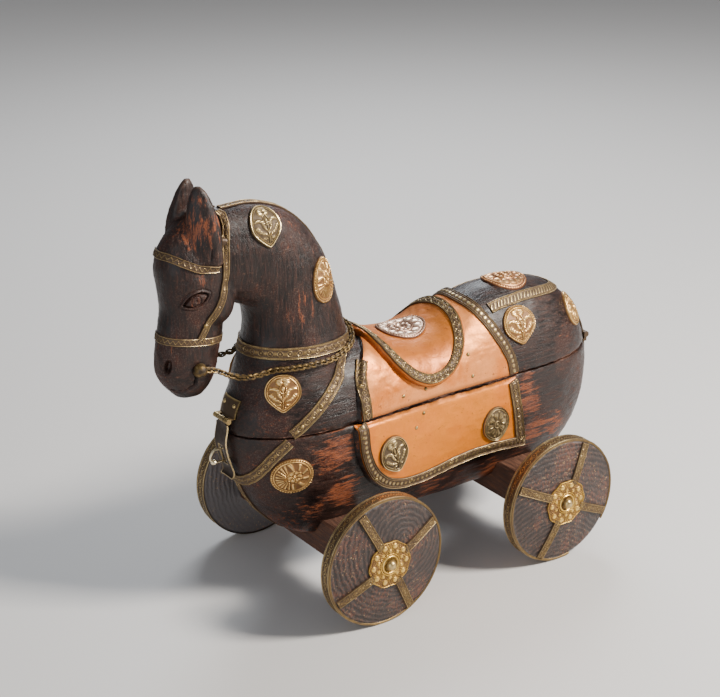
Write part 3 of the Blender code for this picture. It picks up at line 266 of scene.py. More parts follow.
def brass(name, deep, body, bright, shine=0.0, grit=420):
    look = Look(name)
    relief = look.attribute("relief")
    speck = look.speckle(grit, 4, 0.65)
    stain = look.speckle(70, 5, 0.65)
    worn = look.between(relief + (speck - 0.5) * 0.7 + (stain - 0.5) * 0.8, 0.2 - shine, 0.66 - shine)
    lit = look.between(relief + (speck - 0.5) * 0.5 + (stain - 0.5) * 0.7, 0.55 - shine, 0.95 - shine)
    base = look.paint(worn, deep, body)
    base = look.paint(lit, base, bright)
    base = look.paint(look.between(stain, 0.56, 0.75, 0.0, 0.55), base, tuple(c * 0.45 for c in body))
    return look.finish(Base_Color=base, Metallic=look.between(worn, 0.0, 1.0, 0.35, 1.0),
                       Roughness=look.blend(lit, look.between(speck, 0.3, 0.7, 0.42, 0.62),
                                            look.between(stain, 0.3, 0.7, 0.22, 0.4)),
                       Normal=look.bump(speck, 0.45, 0.2))


def copper(name, deep, body, bright, cover, metal):
    look = Look(name)
    edge = look.attribute("edge")
    dents = look.speckle(95, 3, 0.5)
    stain = look.speckle(48, 6, 0.62, warp=0.6)
    fine = look.speckle(900, 4, 0.6)
    streak = look.speckle(1.0, 4, 0.6, look.stretched((90, 700, 700)))
    pits = look.between(look.speckle(330, 3, 0.75), 0.62, 0.72)
    clean = look.between(stain + (fine - 0.5) * 0.25, 0.34, 0.68)
    base = look.paint(clean, body, bright)
    base = look.paint(look.between(stain + (streak - 0.5) * 0.5, 0.58, 0.8, 0.0, cover), base, deep)
    base = look.paint(edge * 0.75 * look.between(fine + stain, 0.6, 1.1), base, tuple(c * 0.4 for c in deep))
    base = look.paint(pits * 0.6, base, tuple(c * 0.5 for c in deep))
    relief = look.bump(dents, 0.5, 1.6)
    relief = look.bump(fine + streak * 0.5, 0.22, 0.12, relief)
    return look.finish(Base_Color=base, Metallic=look.between(clean, 0, 1, metal - 0.1, metal + 0.08),
                       Roughness=look.between(stain + (streak - 0.5) * 0.6, 0.3, 0.75, 0.38, 0.54) + pits * 0.15,
                       Normal=relief, Specular_IOR_Level=0.35)


looks = {
    "horse": horseWood(), "beam": beamWood(),
    "strap": brass("olive brass strip", (0.075, 0.043, 0.022), (0.25, 0.165, 0.07), (0.56, 0.43, 0.22)),
    "medal": brass("gold brass medallion", (0.17, 0.075, 0.022), (0.5, 0.28, 0.085), (0.8, 0.54, 0.24), 0.08),
    "panelMedal": brass("dull brass medallion", (0.09, 0.058, 0.028), (0.3, 0.21, 0.095), (0.62, 0.47, 0.24)),
    "rosette": brass("pale brass rosette", (0.12, 0.05, 0.03), (0.44, 0.27, 0.18), (0.84, 0.62, 0.46), 0.04),
    "rumpRosette": brass("coppery rosette", (0.12, 0.04, 0.014), (0.44, 0.2, 0.075), (0.78, 0.46, 0.22), 0.05),
    "hub": brass("bright wheel rosette", (0.16, 0.075, 0.02), (0.52, 0.31, 0.065), (0.82, 0.55, 0.16), 0.1),
    "plain": brass("worn plain brass", (0.07, 0.04, 0.018), (0.3, 0.2, 0.08), (0.6, 0.44, 0.2), 0.0),
    # hasp flap: the dark brass on its face is painted shade, the pale brass on its edges is painted highlight
    "flap": brass("hasp brass with painted shade and painted edge highlights", (0.035, 0.02, 0.012), (0.2, 0.13, 0.055), (0.72, 0.56, 0.3), -0.02),
    "staple": brass("pale staple wire", (0.2, 0.13, 0.07), (0.55, 0.42, 0.24), (0.8, 0.68, 0.45), 0.1),
    "chain": brass("chain brass", (0.03, 0.018, 0.008), (0.17, 0.11, 0.045), (0.5, 0.36, 0.16), -0.06),
    "seat": copper("seat copper", (0.2, 0.05, 0.01), (0.46, 0.12, 0.012), (0.56, 0.17, 0.02), 0.5, 0.4),
    "cloth": copper("saddle cloth copper", (0.32, 0.085, 0.018), (0.7, 0.19, 0.024), (0.9, 0.34, 0.1), 0.3, 0.55),
    "panel": copper("lower panel copper", (0.34, 0.09, 0.012), (0.7, 0.18, 0.008), (0.8, 0.24, 0.016), 0.3, 0.3)}
print("materials")


# Mesh helpers
def gridPiece(name, points):
    rows, columns = points.shape[:2]
    deselect()
    bpy.ops.mesh.primitive_grid_add(x_subdivisions=columns - 1, y_subdivisions=rows - 1, size=mm)
    piece = bpy.context.object
    piece.name = piece.data.name = name
    piece.data.vertices.foreach_set("co", (points * mm).astype(np.float32).ravel())
    return piece


def joinUp(piece, outward=True):
    # merges the doubled rows, closes the open ends and turns the faces outwards
    deselect()
    piece.select_set(True)
    bpy.context.view_layer.objects.active = piece
    bpy.ops.object.mode_set(mode="EDIT")
    bpy.ops.mesh.select_all(action="SELECT")
    bpy.ops.mesh.remove_doubles(threshold=0.000004)
    bpy.ops.mesh.fill_holes(sides=0)
    bpy.ops.mesh.normals_make_consistent(inside=not outward)
    bpy.ops.object.mode_set(mode="OBJECT")
    return piece


def modifier(piece, kind, **settings):
    deselect()
    piece.select_set(True)
    bpy.context.view_layer.objects.active = piece
    step = piece.modifiers.new(kind.lower(), kind)
    for key, value in settings.items():
        setattr(step, key, value)
    bpy.ops.object.modifier_apply(modifier=step.name)


def joinPieces(pieces, name):
    deselect()
    for one in pieces:
        one.select_set(True)
    bpy.context.view_layer.objects.active = pieces[0]
    if len(pieces) > 1:
        bpy.ops.object.join()
    pieces[0].name = pieces[0].data.name = name
    return pieces[0]


def drop(*pieces):
    for one in pieces:
        bpy.data.objects.remove(one, do_unlink=True)


def coordinates(piece):
    found = np.empty(len(piece.data.vertices) * 3)
    piece.data.vertices.foreach_get("co", found)
    return found.reshape(-1, 3) / mm


def moveTo(piece, points):
    piece.data.vertices.foreach_set("co", (points * mm).astype(np.float32).ravel())
    piece.data.update()


def vertexNormals(piece):
    found = np.empty(len(piece.data.vertices) * 3)
    piece.data.vertex_normals.foreach_get("vector", found)
    return found.reshape(-1, 3)


def edgeEnds(piece):
    found = np.empty(len(piece.data.edges) * 2, np.int64)
    piece.data.edges.foreach_get("vertices", found)
    return found.reshape(-1, 2)


def averaged(values, ends, rounds):
    # each point takes the mean of itself and its neighbours
    count = np.bincount(ends.ravel(), minlength=len(values)).astype(float)
    for _ in range(rounds):
        total = np.zeros_like(values)
        np.add.at(total, ends[:, 0], values[ends[:, 1]])
        np.add.at(total, ends[:, 1], values[ends[:, 0]])
        mean = total / np.maximum(count, 1).reshape(-1, *([1] * (values.ndim - 1)))
        values = 0.5 * values + 0.5 * mean
    return values


def attribute(piece, name, values):
    layer = piece.data.attributes.get(name) or piece.data.attributes.new(name, "FLOAT", "POINT")
    layer.data.foreach_set("value", np.asarray(values, np.float32).ravel())


def smoothstep(low, high, value):
    t = np.clip((value - low) / (high - low), 0, 1)
    return t * t * (3 - 2 * t)


def bumpAt(value, middle, half):
    return np.clip(1 - ((value - middle) / half) ** 2, 0, 1)


def wander(points, size, seed=0.0):
    # smooth noise at each point, with features of this size
    return np.array([noise.noise(Vector(p) / size + Vector((seed, seed, seed))) for p in points])


def markEdges(piece, rounds=2, gain=1.0):
    # how much each point stands out from its neighbours: the wood is worn lighter on edges and gets painted shade in
    # grooves, the wheel faces get a painted grey sheen on their edges
    points, ends = coordinates(piece), edgeEnds(piece)
    out = ((points - averaged(points, ends, rounds)) * vertexNormals(piece)).sum(1)
    attribute(piece, "edge", np.clip(averaged(out, ends, 2) * 6 * gain, -1, 1))


def dress(piece, body, look, *nodes, slot=None, angle=40, smooth=True):
    deselect()
    piece.select_set(True)
    bpy.context.view_layer.objects.active = piece
    if smooth:
        bpy.ops.object.shade_smooth_by_angle(angle=math.radians(angle))
    piece.data.materials.clear()
    piece.data.materials.append(looks[look])
    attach(piece, body)
    if nodes:
        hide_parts(*nodes)
    finished.append(piece)
    return piece


# The carved form: body, neck, head and ears in one piece of wood
horse = {"seam": 106.0, "gap": 0.3, "front": 121.0, "rear": -130.0, "halfWidth": 33.5, "frontRound": 51.0,
         "rearRound": 54.0, "rearEnd": 92.0, "backSquare": 2.15, "saddleSquare": 0.75, "bellySquare": 3.1,
         "belly": 33.5, "wall": 8.0, "floor": 18.0, "voxel": 1.05, "seatCentre": 4.5, "seatHalf": 33.0,
         "backLine": [(-90, 151.5), (-70, 153.5), (-52, 153), (-38, 149), (-25, 142.5), (-12, 135.5), (2, 132),
                      (15, 133.5), (30, 138.5), (45, 145), (70, 147), (121, 147)]}
neck = [(79, 96, 34, 28, 0), (79, 120, 36, 29, 0), (77, 140, 33.5, 25.5, 0), (77, 155, 30.5, 22.5, -3),
        (78.5, 170, 28, 20, -9), (82.5, 184, 27, 18.5, -20), (90, 195, 27.5, 17.5, -38),
        (101, 203.5, 28, 16.5, -56), (113, 207.5, 27, 15.5, -68), (126, 209, 24, 14, -80)]
head = [(130, 233.5, 7, 4.5, 0), (132, 228, 14, 8, 4), (135.5, 218, 19.5, 12, 3), (137.5, 206, 21.2, 15.6, 2),
        (138, 195, 19.8, 15.2, 0), (138.5, 182, 18.2, 13.4, 4), (140.5, 170, 18.2, 12, 6),
        (143, 158, 18.2, 11.4, 6), (144, 148, 16.8, 11.4, 2), (143.5, 140, 12.8, 9.8, 0), (143, 133.5, 7, 6, 0)]
ear = {"height": 42.0, "leans": {1: 1.5, -1: -4.0}, "turns": {1: -35, -1: 14}, "forward": {1: 0.0, -1: 3.2},
       "inward": 5.0, "base": (136.0, 12.0, 208.0), "depth": 9.3, "width": 5.2}
face = {"eye": (144.0, 191.0), "eyeLean": -19, "eyeLong": 6.4, "eyeTall": 3.3, "nostril": (158.6, 154.5),
        "cheek": (130.0, 9.5, 186.0), "mouth": [(143.5, 150), (144.5, 142.5), (150, 139.2), (162, 140.2)]}
cloth = {"rise": 1.6, "front": 56.0, "frontTop": 37.0, "rear": -57.5, "rearTop": -38.6, "axis": 110.0,
         "scratch": [(36.3, 122.1), (31.5, 119), (26.7, 113.6)]}
panel = {"rise": 2.6, "topFront": 60.0, "topRear": -56.0,
         "edge": [(59, 99), (57, 86), (51, 72), (40, 61.5), (26, 56.5), (8, 56), (-14, 59.5), (-38, 60.5), (-66, 58)]}


def along(points, t):
    # a smooth height through (x, height) points
    if t <= points[0][0]:
        return points[0][1]
    if t >= points[-1][0]:
        return points[-1][1]
    i = max(k for k in range(len(points) - 1) if points[k][0] <= t)
    slopes = []
    for k in (i, i + 1):
        a, b = points[max(k - 1, 0)], points[min(k + 1, len(points) - 1)]
        slopes.append((b[1] - a[1]) / (b[0] - a[0]))
    (x0, y0), (x1, y1) = points[i], points[i + 1]
    h = x1 - x0
    s = (t - x0) / h
    return (y0 * (1 + 2 * s) * (1 - s) ** 2 + slopes[0] * h * s * (1 - s) ** 2
            + y1 * s * s * (3 - 2 * s) + slopes[1] * h * s * s * (s - 1))


def curveThrough(knots, perGap, closed=False):
    # Catmull-Rom through rows of numbers
    knots = np.array(knots, float)
    count = len(knots)
    out = []
    for i in range(count if closed else count - 1):
        pick = [(i + k) % count if closed else min(max(i + k, 0), count - 1) for k in (-1, 0, 1, 2)]
        a, b, c, d = knots[pick]
        for s in range(perGap):
            t = s / perGap
            out.append(0.5 * (2 * b + (c - a) * t + (2 * a - 5 * b + 4 * c - d) * t * t
                              + (3 * b - a - 3 * c + d) * t ** 3))
    out.append(knots[0] if closed else knots[-1])
    return np.array(out)


def evenPath(points, step, closed=False):
    # points at even steps along a smooth curve through the given ones
    fine = curveThrough(points, 40, closed)
    lengths = np.concatenate([[0], np.cumsum(np.linalg.norm(np.diff(fine, axis=0), axis=1))])
    pieces = max(3, round(lengths[-1] / step))
    wanted = np.linspace(0, lengths[-1], pieces + 1)
    return np.stack([np.interp(wanted, lengths, fine[:, k]) for k in range(fine.shape[1])], 1)


def rounded(share, power):
    return max(1 - min(share, 1.0) ** power, 0.0) ** (1 / power)


def bodyRing(x, inset, floor, sides):
    front, rear = horse["front"] - inset, horse["rear"] + inset
    frontStart, rearStart = horse["front"] - horse["frontRound"], horse["rear"] + horse["rearRound"]
    toFront = max(0.0, (x - frontStart) / (front - frontStart))
    toRear = max(0.0, (rearStart - x) / (rearStart - rear))
    wide = horse["halfWidth"] - 2.5 * min(1.0, max(0.0, (60 - x) / 60)) - inset
    top, low, middle = along(horse["backLine"], x) - inset, horse["belly"] + floor, horse["seam"] - 4
    powers, end = ((2.0, 2.0, 1.8), horse["seam"]) if toFront > 0 else ((2.1, 2.1, 2.0), horse["rearEnd"])
    share = min(max(toFront, toRear), 0.9999)
    roundWide, roundTop, roundLow = (rounded(share, p) for p in powers)
    middle += (end - middle) * share
    top, low, wide = end + (top - end) * roundTop, end + (low - end) * roundLow, wide * roundWide
    upper = horse["backSquare"] + horse["saddleSquare"] * math.exp(-((x - horse["seatCentre"]) / horse["seatHalf"]) ** 2)
    lower = horse["bellySquare"] - 0.7 * share
    a = np.linspace(0, math.tau, sides + 1) + math.pi / sides
    c, s = np.cos(a), np.sin(a)
    power = np.where(s > 0, 2 / upper, 2 / lower)
    reach = np.where(s > 0, top - middle, middle - low)
    return np.stack([np.full_like(a, x), wide * np.sign(c) * np.abs(c) ** power,
                     middle + reach * np.sign(s) * np.abs(s) ** power], 1)


def bodyForm(name, inset, floor, stations, sides):
    rear, front = horse["rear"] + inset, horse["front"] - inset
    middleRear, middleFront = horse["rear"] + horse["rearRound"], horse["front"] - horse["frontRound"]
    bend = np.linspace(0, math.pi / 2, stations)
    places = np.concatenate([middleRear - (middleRear - rear) * np.cos(bend),
                             np.linspace(middleRear, middleFront, stations * 2)[1:-1],
                             middleFront + (front - middleFront) * np.sin(bend)])
    return joinUp(gridPiece(name, np.array([bodyRing(x, inset, floor, sides) for x in places])))


def leaningForm(name, sections, sides, power):
    rows = []
    a = np.linspace(0, math.tau, sides + 1)
    c, s = np.cos(a), np.sin(a)
    for x, z, depth, width, lean in curveThrough(sections, 8):
        tilt = math.radians(lean)
        d = depth * np.sign(c) * np.abs(c) ** (2 / power)
        rows.append(np.stack([x + d * math.cos(tilt), width * np.sign(s) * np.abs(s) ** (2 / power),
                              z + d * math.sin(tilt)], 1))
    return joinUp(gridPiece(name, np.array(rows)))


def earForm(side):
    rows = []
    for t in np.linspace(0, 0.995, 34):
        size = (1 - t ** 3.2) ** 0.52 * (0.9 + 0.16 * math.sin(math.pi * t))
        centre = (ear["base"][0] + ear["forward"][side] + ear["leans"][side] * t ** 1.5,
                  side * (ear["base"][1] - ear["inward"] * t), ear["base"][2] + ear["height"] * t)
        ring = []
        for i in range(7):
            a = math.pi * (0.14 + 1.72 * i / 6)
            ring.append((ear["depth"] * size * math.cos(a), -side * ear["width"] * size * math.sin(a)))
        hollow = 0.9 - 0.55 * min(1.0, t * 6)
        for i in range(3):
            a = math.pi * (0.16 + 0.34 * i)
            ring.append((ear["depth"] * size * (0.62 * math.cos(math.pi - a) + 0.22),
                         side * ear["width"] * size * (0.45 - hollow * math.sin(a))))
        flat = curveThrough(ring, 5, True)
        out = math.radians(ear["turns"][side])
        rows.append(np.stack([centre[0] + flat[:, 0] * math.cos(out) - flat[:, 1] * math.sin(out),
                              centre[1] + flat[:, 0] * math.sin(out) + flat[:, 1] * math.cos(out),
                              np.full(len(flat), centre[2])], 1))
    return joinUp(gridPiece(f"ear {side}", np.array(rows)))


def ballForm(centre, radii):
    deselect()
    bpy.ops.mesh.primitive_uv_sphere_add(segments=32, ring_count=20, radius=1)
    made = bpy.context.object
    moveTo(made, coordinates(made) * mm * np.array(radii) + np.array(centre))
    return made


formParts = [bodyForm("body form", 0, 0, 44, 160), leaningForm("neck form", neck, 96, 2.1),
             leaningForm("head form", head, 96, 2.25), earForm(1), earForm(-1)]
for side in (1, -1):
    formParts.append(ballForm((face["cheek"][0], side * face["cheek"][1], face["cheek"][2]), (11, 6, 13)))
form = joinPieces(formParts, "form")
modifier(form, "REMESH", mode="VOXEL", voxel_size=horse["voxel"] * mm)
modifier(form, "SMOOTH", factor=0.5, iterations=7)


def barrelDegrees(points):
    return np.degrees(np.arctan2(points[:, 2] - cloth["axis"], np.abs(points[:, 1])))


def clothEdges(degrees):
    top = np.maximum(0.0, np.sin(np.radians(degrees)))
    return (cloth["front"] + (cloth["frontTop"] - cloth["front"]) * top ** 3,
            cloth["rear"] + (cloth["rearTop"] - cloth["rear"]) * top ** 1.6)


panelLine = np.concatenate([curveThrough([(panel["topFront"], horse["seam"] + 2)] + panel["edge"], 6),
                            [(panel["topRear"], horse["seam"] + 2)]])


def panelDepth(x, z):
    # distance inside the panel's outline in the side view, negative outside
    inside = np.zeros(len(x), bool)
    near = np.full(len(x), 1e9)
    loop = np.concatenate([panelLine, panelLine[:1]])
    for i, ((x0, z0), (x1, z1)) in enumerate(zip(loop, loop[1:])):
        crosses = (z0 > z) != (z1 > z)
        inside ^= crosses & (x < (x1 - x0) * (z - z0) / (z1 - z0 + 1e-12) + x0)
        if i < len(loop) - 2:
            t = np.clip(((x - x0) * (x1 - x0) + (z - z0) * (z1 - z0)) / ((x1 - x0) ** 2 + (z1 - z0) ** 2), 0, 1)
            near = np.minimum(near, np.hypot(x - x0 - t * (x1 - x0), z - z0 - t * (z1 - z0)))
    return np.where(inside, near, -near)


def clothDepth(points):
    front, rear = clothEdges(barrelDegrees(points))
    depth = np.minimum(front - points[:, 0], points[:, 0] - rear)
    return np.where(points[:, 2] > 160, -20.0, depth)


def eyePlace(points):
    a = math.radians(face["eyeLean"])
    x, z = points[:, 0] - face["eye"][0], points[:, 2] - face["eye"][1]
    return x * math.cos(a) + z * math.sin(a), -x * math.sin(a) + z * math.cos(a)


def lineDistance(points, line):
    near = np.full(len(points), 1e9)
    for (x0, z0), (x1, z1) in zip(line, line[1:]):
        t = np.clip(((points[:, 0] - x0) * (x1 - x0) + (points[:, 2] - z0) * (z1 - z0))
                    / ((x1 - x0) ** 2 + (z1 - z0) ** 2), 0, 1)
        near = np.minimum(near, np.hypot(points[:, 0] - x0 - t * (x1 - x0), points[:, 2] - z0 - t * (z1 - z0)))
    return near


def refine(piece, chosen):
    # one cut across every face whose points are all chosen
    deselect()
    bpy.context.view_layer.objects.active = piece
    piece.select_set(True)
    bpy.ops.object.mode_set(mode="EDIT")
    bpy.context.tool_settings.mesh_select_mode = (False, False, True)
    bpy.ops.mesh.select_all(action="DESELECT")
    bpy.ops.object.mode_set(mode="OBJECT")
    corners = np.empty(len(piece.data.loops), np.int64)
    piece.data.loops.foreach_get("vertex_index", corners)
    starts = np.empty(len(piece.data.polygons), np.int64)
    piece.data.polygons.foreach_get("loop_start", starts)
    piece.data.polygons.foreach_set("select", np.logical_and.reduceat(chosen[corners], starts))
    bpy.ops.object.mode_set(mode="EDIT")
    bpy.ops.mesh.subdivide(number_cuts=1)
    bpy.ops.object.mode_set(mode="OBJECT")


def onHead(points):
    return (points[:, 2] > 128) & (points[:, 0] > 112)


for reach in (2.2, 1.4):
    spots = coordinates(form)
    side, up = eyePlace(spots)
    eyeZone = (np.abs(side) < 11) & (np.abs(up) < 8 - (2 if reach < 2 else 0)) & onHead(spots)
    nostrilZone = np.hypot(spots[:, 0] - face["nostril"][0], (spots[:, 2] - face["nostril"][1]) * 0.7) < 6
    mouthZone = (lineDistance(spots, face["mouth"]) < reach * 1.6) & onHead(spots)
    stepZone = (np.abs(clothDepth(spots)) < reach) & (spots[:, 2] > horse["seam"] - 2) & (np.abs(spots[:, 0]) < 70)
    lowZone = (np.abs(panelDepth(spots[:, 0], spots[:, 2])) < reach) & (spots[:, 2] < horse["seam"] + 1) \
        & (np.abs(spots[:, 1]) > 12)
    if reach > 2:
        refine(form, eyeZone | (nostrilZone & onHead(spots)) | mouthZone | stepZone | lowZone)
    else:
        refine(form, eyeZone | (nostrilZone & onHead(spots)))

spots, facing, ends = coordinates(form), vertexNormals(form), edgeEnds(form)
facing = averaged(facing, ends, 4)
facing /= np.linalg.norm(facing, axis=1, keepdims=True)
lift = np.zeros(len(spots))
uneven = wander(spots, 9.0) * 0.35 + wander(spots, 22.0, 4.0) * 0.4
tooled = wander(spots * np.array([0.35, 1, 1]), 2.2, 9.0) * 0.16
lift += uneven + tooled
seamUp = smoothstep(horse["seam"] - 3, horse["seam"] - 2.6, spots[:, 2])
ragged = wander(spots, 3.0, 2.0) * 0.35
lift += cloth["rise"] * smoothstep(-0.35, 0.35, clothDepth(spots) + ragged) * seamUp * (spots[:, 2] < 158)
lift += (panel["rise"] * smoothstep(-0.5, 0.5, panelDepth(spots[:, 0], spots[:, 2]) + ragged) * (1 - seamUp)
         * smoothstep(10, 14, np.abs(spots[:, 1])))
headly = onHead(spots) * (np.abs(spots[:, 1]) > 4)
side, up = eyePlace(spots)
almond = np.abs(up / face["eyeTall"]) ** 1.15 + (side / face["eyeLong"]) ** 2
iris = np.hypot(side - 0.3, up - 0.1)
carving = 1.3 * np.sqrt(np.clip(1 - almond, 0, 1)) - 1.3 * bumpAt(almond, 1.04, 0.28)
carving += 0.45 * bumpAt(almond, 1.45, 0.36) - 0.4 * bumpAt(almond, 1.9, 0.3)
carving -= 0.55 * bumpAt(iris, 2.5, 0.45) * (almond < 0.95) + 0.7 * bumpAt(iris, 0.0, 0.9)
carving += 1.3 * bumpAt(np.hypot(side + 1, (up - 8.5) * 1.5), 0, 7.5)
tallX = spots[:, 0] - face["nostril"][0] + 0.16 * (spots[:, 2] - face["nostril"][1])
oval = np.hypot(tallX / 1.9, (spots[:, 2] - face["nostril"][1]) / 5.0)
carving -= 3.4 * smoothstep(1.0, 0.3, oval)
carving -= 2.6 * np.clip(1 - lineDistance(spots, face["mouth"]) / 1.4, 0, 1)
carving -= 1.1 * np.clip(1 - lineDistance(spots, [(136, 211.5), (135.4, 217.5)]) / 0.9, 0, 1)
lift += carving * headly
lipHeight = np.abs(spots[:, 2] - horse["seam"])
lift -= 1.1 * np.clip(1 - lipHeight / 2.0, 0, 1) * (0.75 + 1.1 * wander(spots, 4.0, 7.0))
carved = spots + facing * lift[:, None]
carved[:, 0] = np.minimum(carved[:, 0], 161.0)
moveTo(form, carved)
print("carved form", len(form.data.vertices))


# Skins: where to lay thin pieces
class Skin:
    def __init__(self, *pieces):
        self.trees, self.normals, self.corners = [], [], []
        for one in pieces:
            points, normals, ends = coordinates(one), vertexNormals(one), edgeEnds(one)
            normals = averaged(normals, ends, 12)
            faces = [tuple(p.vertices) for p in one.data.polygons]
            self.trees.append(BVHTree.FromPolygons(points.tolist(), faces))
            self.normals.append(normals)
            self.corners.append(faces)

    def nearest(self, point):
        place, _, index, _ = self.trees[0].find_nearest(Vector(point))
        normal = Vector(self.normals[0][list(self.corners[0][index])].mean(0)).normalized()
        return place, normal

    def cast(self, start, heading):
        return self.trees[0].ray_cast(Vector(start), Vector(heading).normalized())[0]

    def height(self, point, normal, reach=6.0):
        best = None
        for tree in self.trees:
            hit = tree.ray_cast(point + normal * reach, -normal, 2.5 * reach)[0]
            if hit is not None:
                rise = (hit - point).dot(normal)
                best = rise if best is None else max(best, rise)
        return best

    def ringPoint(self, x, degrees):
        a = math.radians(degrees)
        heading = Vector((0, math.cos(a), math.sin(a)))
        return self.cast(Vector((x, 0, cloth["axis"])) + heading * 120, -heading)

    def sidePoint(self, x, z, side):
        return self.cast((x, side * 80, z), (0, -side, 0))


def rollingMean(values, half, closed=False):
    # evens a row of numbers or vectors along its first axis
    if half < 1:
        return values
    count = len(values)
    if closed:
        padded = np.concatenate([values[-half:], values, values[:half]])
    else:
        padded = np.concatenate([np.repeat(values[:1], half, 0), values, np.repeat(values[-1:], half, 0)])
    total = np.cumsum(np.concatenate([np.zeros_like(padded[:1]), padded]), axis=0)
    return (total[2 * half + 1:] - total[:-2 * half - 1])[:count] / (2 * half + 1)


wood = Skin(form)
print("skin")

def highest(*shapes):
    tallest = shapes[0]
    for shape in shapes[1:]:
        tallest = np.maximum(tallest, shape)
    return tallest


# Relief patterns: u runs along a strip, v across it from -1 to 1, both in arrays. They give a height from 0 to 1.
def twoLines(v):
    return np.maximum(bumpAt(np.abs(v), 0.9, 0.09), bumpAt(np.abs(v), 0.66, 0.07))


def edgeBeads(u, v):
    return 0.75 * np.clip(1 - (((u % 1.05) - 0.525) / 0.5) ** 2 - ((np.abs(v) - 0.78) / 0.13) ** 2, 0, 1)


def scrollPattern(u, v):
    t = (u % 5.4) / 5.4 - 0.5
    r = np.hypot(t / 0.3, v / 0.46)
    boss = np.maximum(np.clip(1 - r / 0.55, 0, 1) ** 0.6, bumpAt(r, 0.95, 0.18))
    leaf = bumpAt(np.hypot((np.abs(t) - 0.42) / 0.12, v / 0.5), 0, 0.95) * 0.8
    return highest(boss, leaf, twoLines(v), edgeBeads(u, v))


def dashPattern(u, v):
    t = ((u + v * 1.6) % 2.6) / 2.6 - 0.5
    dash = np.clip(1 - (t / 0.3) ** 2, 0, 1) * (np.abs(v) < 0.55)
    return highest(dash ** 0.7, twoLines(v), 0.7 * edgeBeads(u, v))


def circlePattern(u, v):
    t = (u % 4.4) / 4.4 - 0.5
    r = np.hypot(t / 0.34, v / 0.52)
    ring = np.maximum(bumpAt(r, 0.9, 0.22), np.clip(1 - r / 0.45, 0, 1) ** 0.5)
    stud = 0.8 * np.clip(1 - ((np.abs(t) - 0.5) / 0.09) ** 2 - (v / 0.3) ** 2, 0, 1)
    return highest(ring, stud, twoLines(v), 0.6 * edgeBeads(u, v))


def beadPattern(u, v):
    t = (u % 3.1) / 3.1 - 0.5
    bead = np.sqrt(np.clip(1 - (t / 0.42) ** 2 - (v / 0.42) ** 2, 0, 1))
    zig = bumpAt(np.abs(v) - 0.56 - 0.08 * np.abs(t * 2), 0, 0.08)
    return highest(bead, 0.8 * zig, 0.9 * bumpAt(np.abs(v), 0.9, 0.09))


def zigzagPattern(u, v):
    t = np.abs((u % 3.0) / 1.5 - 1) * 2 - 1
    zig = bumpAt(v - 0.5 * t, 0, 0.2)
    return highest(zig, bumpAt(np.abs(v), 0.86, 0.14))


def meshPattern(u, v):
    a = np.abs(np.sin(u * 2.6 + v * 5.0)) * np.abs(np.sin(u * 2.6 - v * 5.0))
    return np.maximum(a * 0.75 * (np.abs(v) < 0.62), twoLines(v))


def ribbon(name, path, width, skin, pattern, closed=False, rise=0.42, thick=0.4, gap=0.3, step=0.38, cell=0.33):
    # an embossed strip laid on a skin along a path, as a closed band
    path = evenPath(path, step, closed)
    if closed:
        path = path[:-1]
    places, normals = zip(*(skin.nearest(p) for p in path))
    places, normals = np.array(places), np.array(normals)
    normals = rollingMean(normals, 4, closed)
    places = rollingMean(places, 2, closed)
    normals /= np.linalg.norm(normals, axis=1, keepdims=True)
    ahead = np.roll(places, -1, 0) - np.roll(places, 1, 0)
    if not closed:
        ahead[0], ahead[-1] = places[1] - places[0], places[-1] - places[-2]
    aside = np.cross(ahead, normals)
    aside /= np.linalg.norm(aside, axis=1, keepdims=True)
    count = max(5, round(width / cell) + 1)
    v = np.linspace(-1, 1, count)
    wobble = 1 + 0.02 * np.array([noise.noise(Vector((i * step / 6, len(name), 0))) for i in range(len(path))])
    heights = np.zeros((len(path), count))
    for i in range(len(path)):
        normal = Vector(normals[i])
        for j in range(count):
            spot = Vector(places[i] + aside[i] * width / 2 * v[j] * wobble[i])
            found = skin.height(spot, normal)
            heights[i, j] = np.nan if found is None else found
    fallback = np.nanmedian(heights)
    heights = np.where(np.isnan(heights), fallback, heights)
    heights = rollingMean(heights, 3, closed)
    heights = rollingMean(heights.T, 2).T
    lengths = np.arange(len(path))[:, None] * step
    relief = np.clip(pattern(lengths, v[None, :]), 0, 1)
    relief = relief * (0.85 + 0.15 * wander(np.c_[lengths[:, 0] / 3, lengths[:, 0] * 0, lengths[:, 0] * 0], 1.0)[:, None])
    flat = places[:, None, :] + aside[:, None, :] * (width / 2 * v[None, :] * wobble[:, None])[:, :, None]
    top = flat + normals[:, None, :] * (heights + gap + thick + rise * relief)[:, :, None]
    low = flat[:, (0, -1), :] + normals[:, None, :] * (heights[:, (0, -1)] + gap * 0.3)[:, :, None]
    band = np.concatenate([low[:, :1], top, low[:, 1:], low[:, :1]], 1)
    marks = np.concatenate([np.zeros((len(path), 1)), relief, np.zeros((len(path), 2))], 1)
    if closed:
        band, marks = np.concatenate([band, band[:1]]), np.concatenate([marks, marks[:1]])
    piece = gridPiece(name, band)
    attribute(piece, "relief", marks)
    return joinUp(piece)


# Copper sheets
def sheetPiece(name, points, normals, dent=0.25, seed=1.0, scratch=None):
    # an open grid of points, given dents and perhaps a scratch on its left side
    shape = points.shape
    flat, out = points.reshape(-1, 3), normals.reshape(-1, 3)
    dents = (wander(flat, 6.5, seed) * dent + wander(flat, 16.0, seed + 3) * dent).clip(-0.25)
    if scratch:
        dents -= 0.35 * np.clip(1 - lineDistance(flat, scratch) / 0.8, 0, 1) * (flat[:, 1] > 0)
    piece = gridPiece(name, (flat + out * dents[:, None]).reshape(shape))
    rows, columns = shape[:2]
    border = np.minimum.reduce([np.arange(rows)[:, None] + np.zeros((1, columns)),
                                (rows - 1 - np.arange(rows))[:, None] + np.zeros((1, columns)),
                                np.arange(columns)[None, :] + np.zeros((rows, 1)),
                                (columns - 1 - np.arange(columns))[None, :] + np.zeros((rows, 1))])
    attribute(piece, "edge", np.clip(1 - border / 3.5, 0, 1))
    return piece


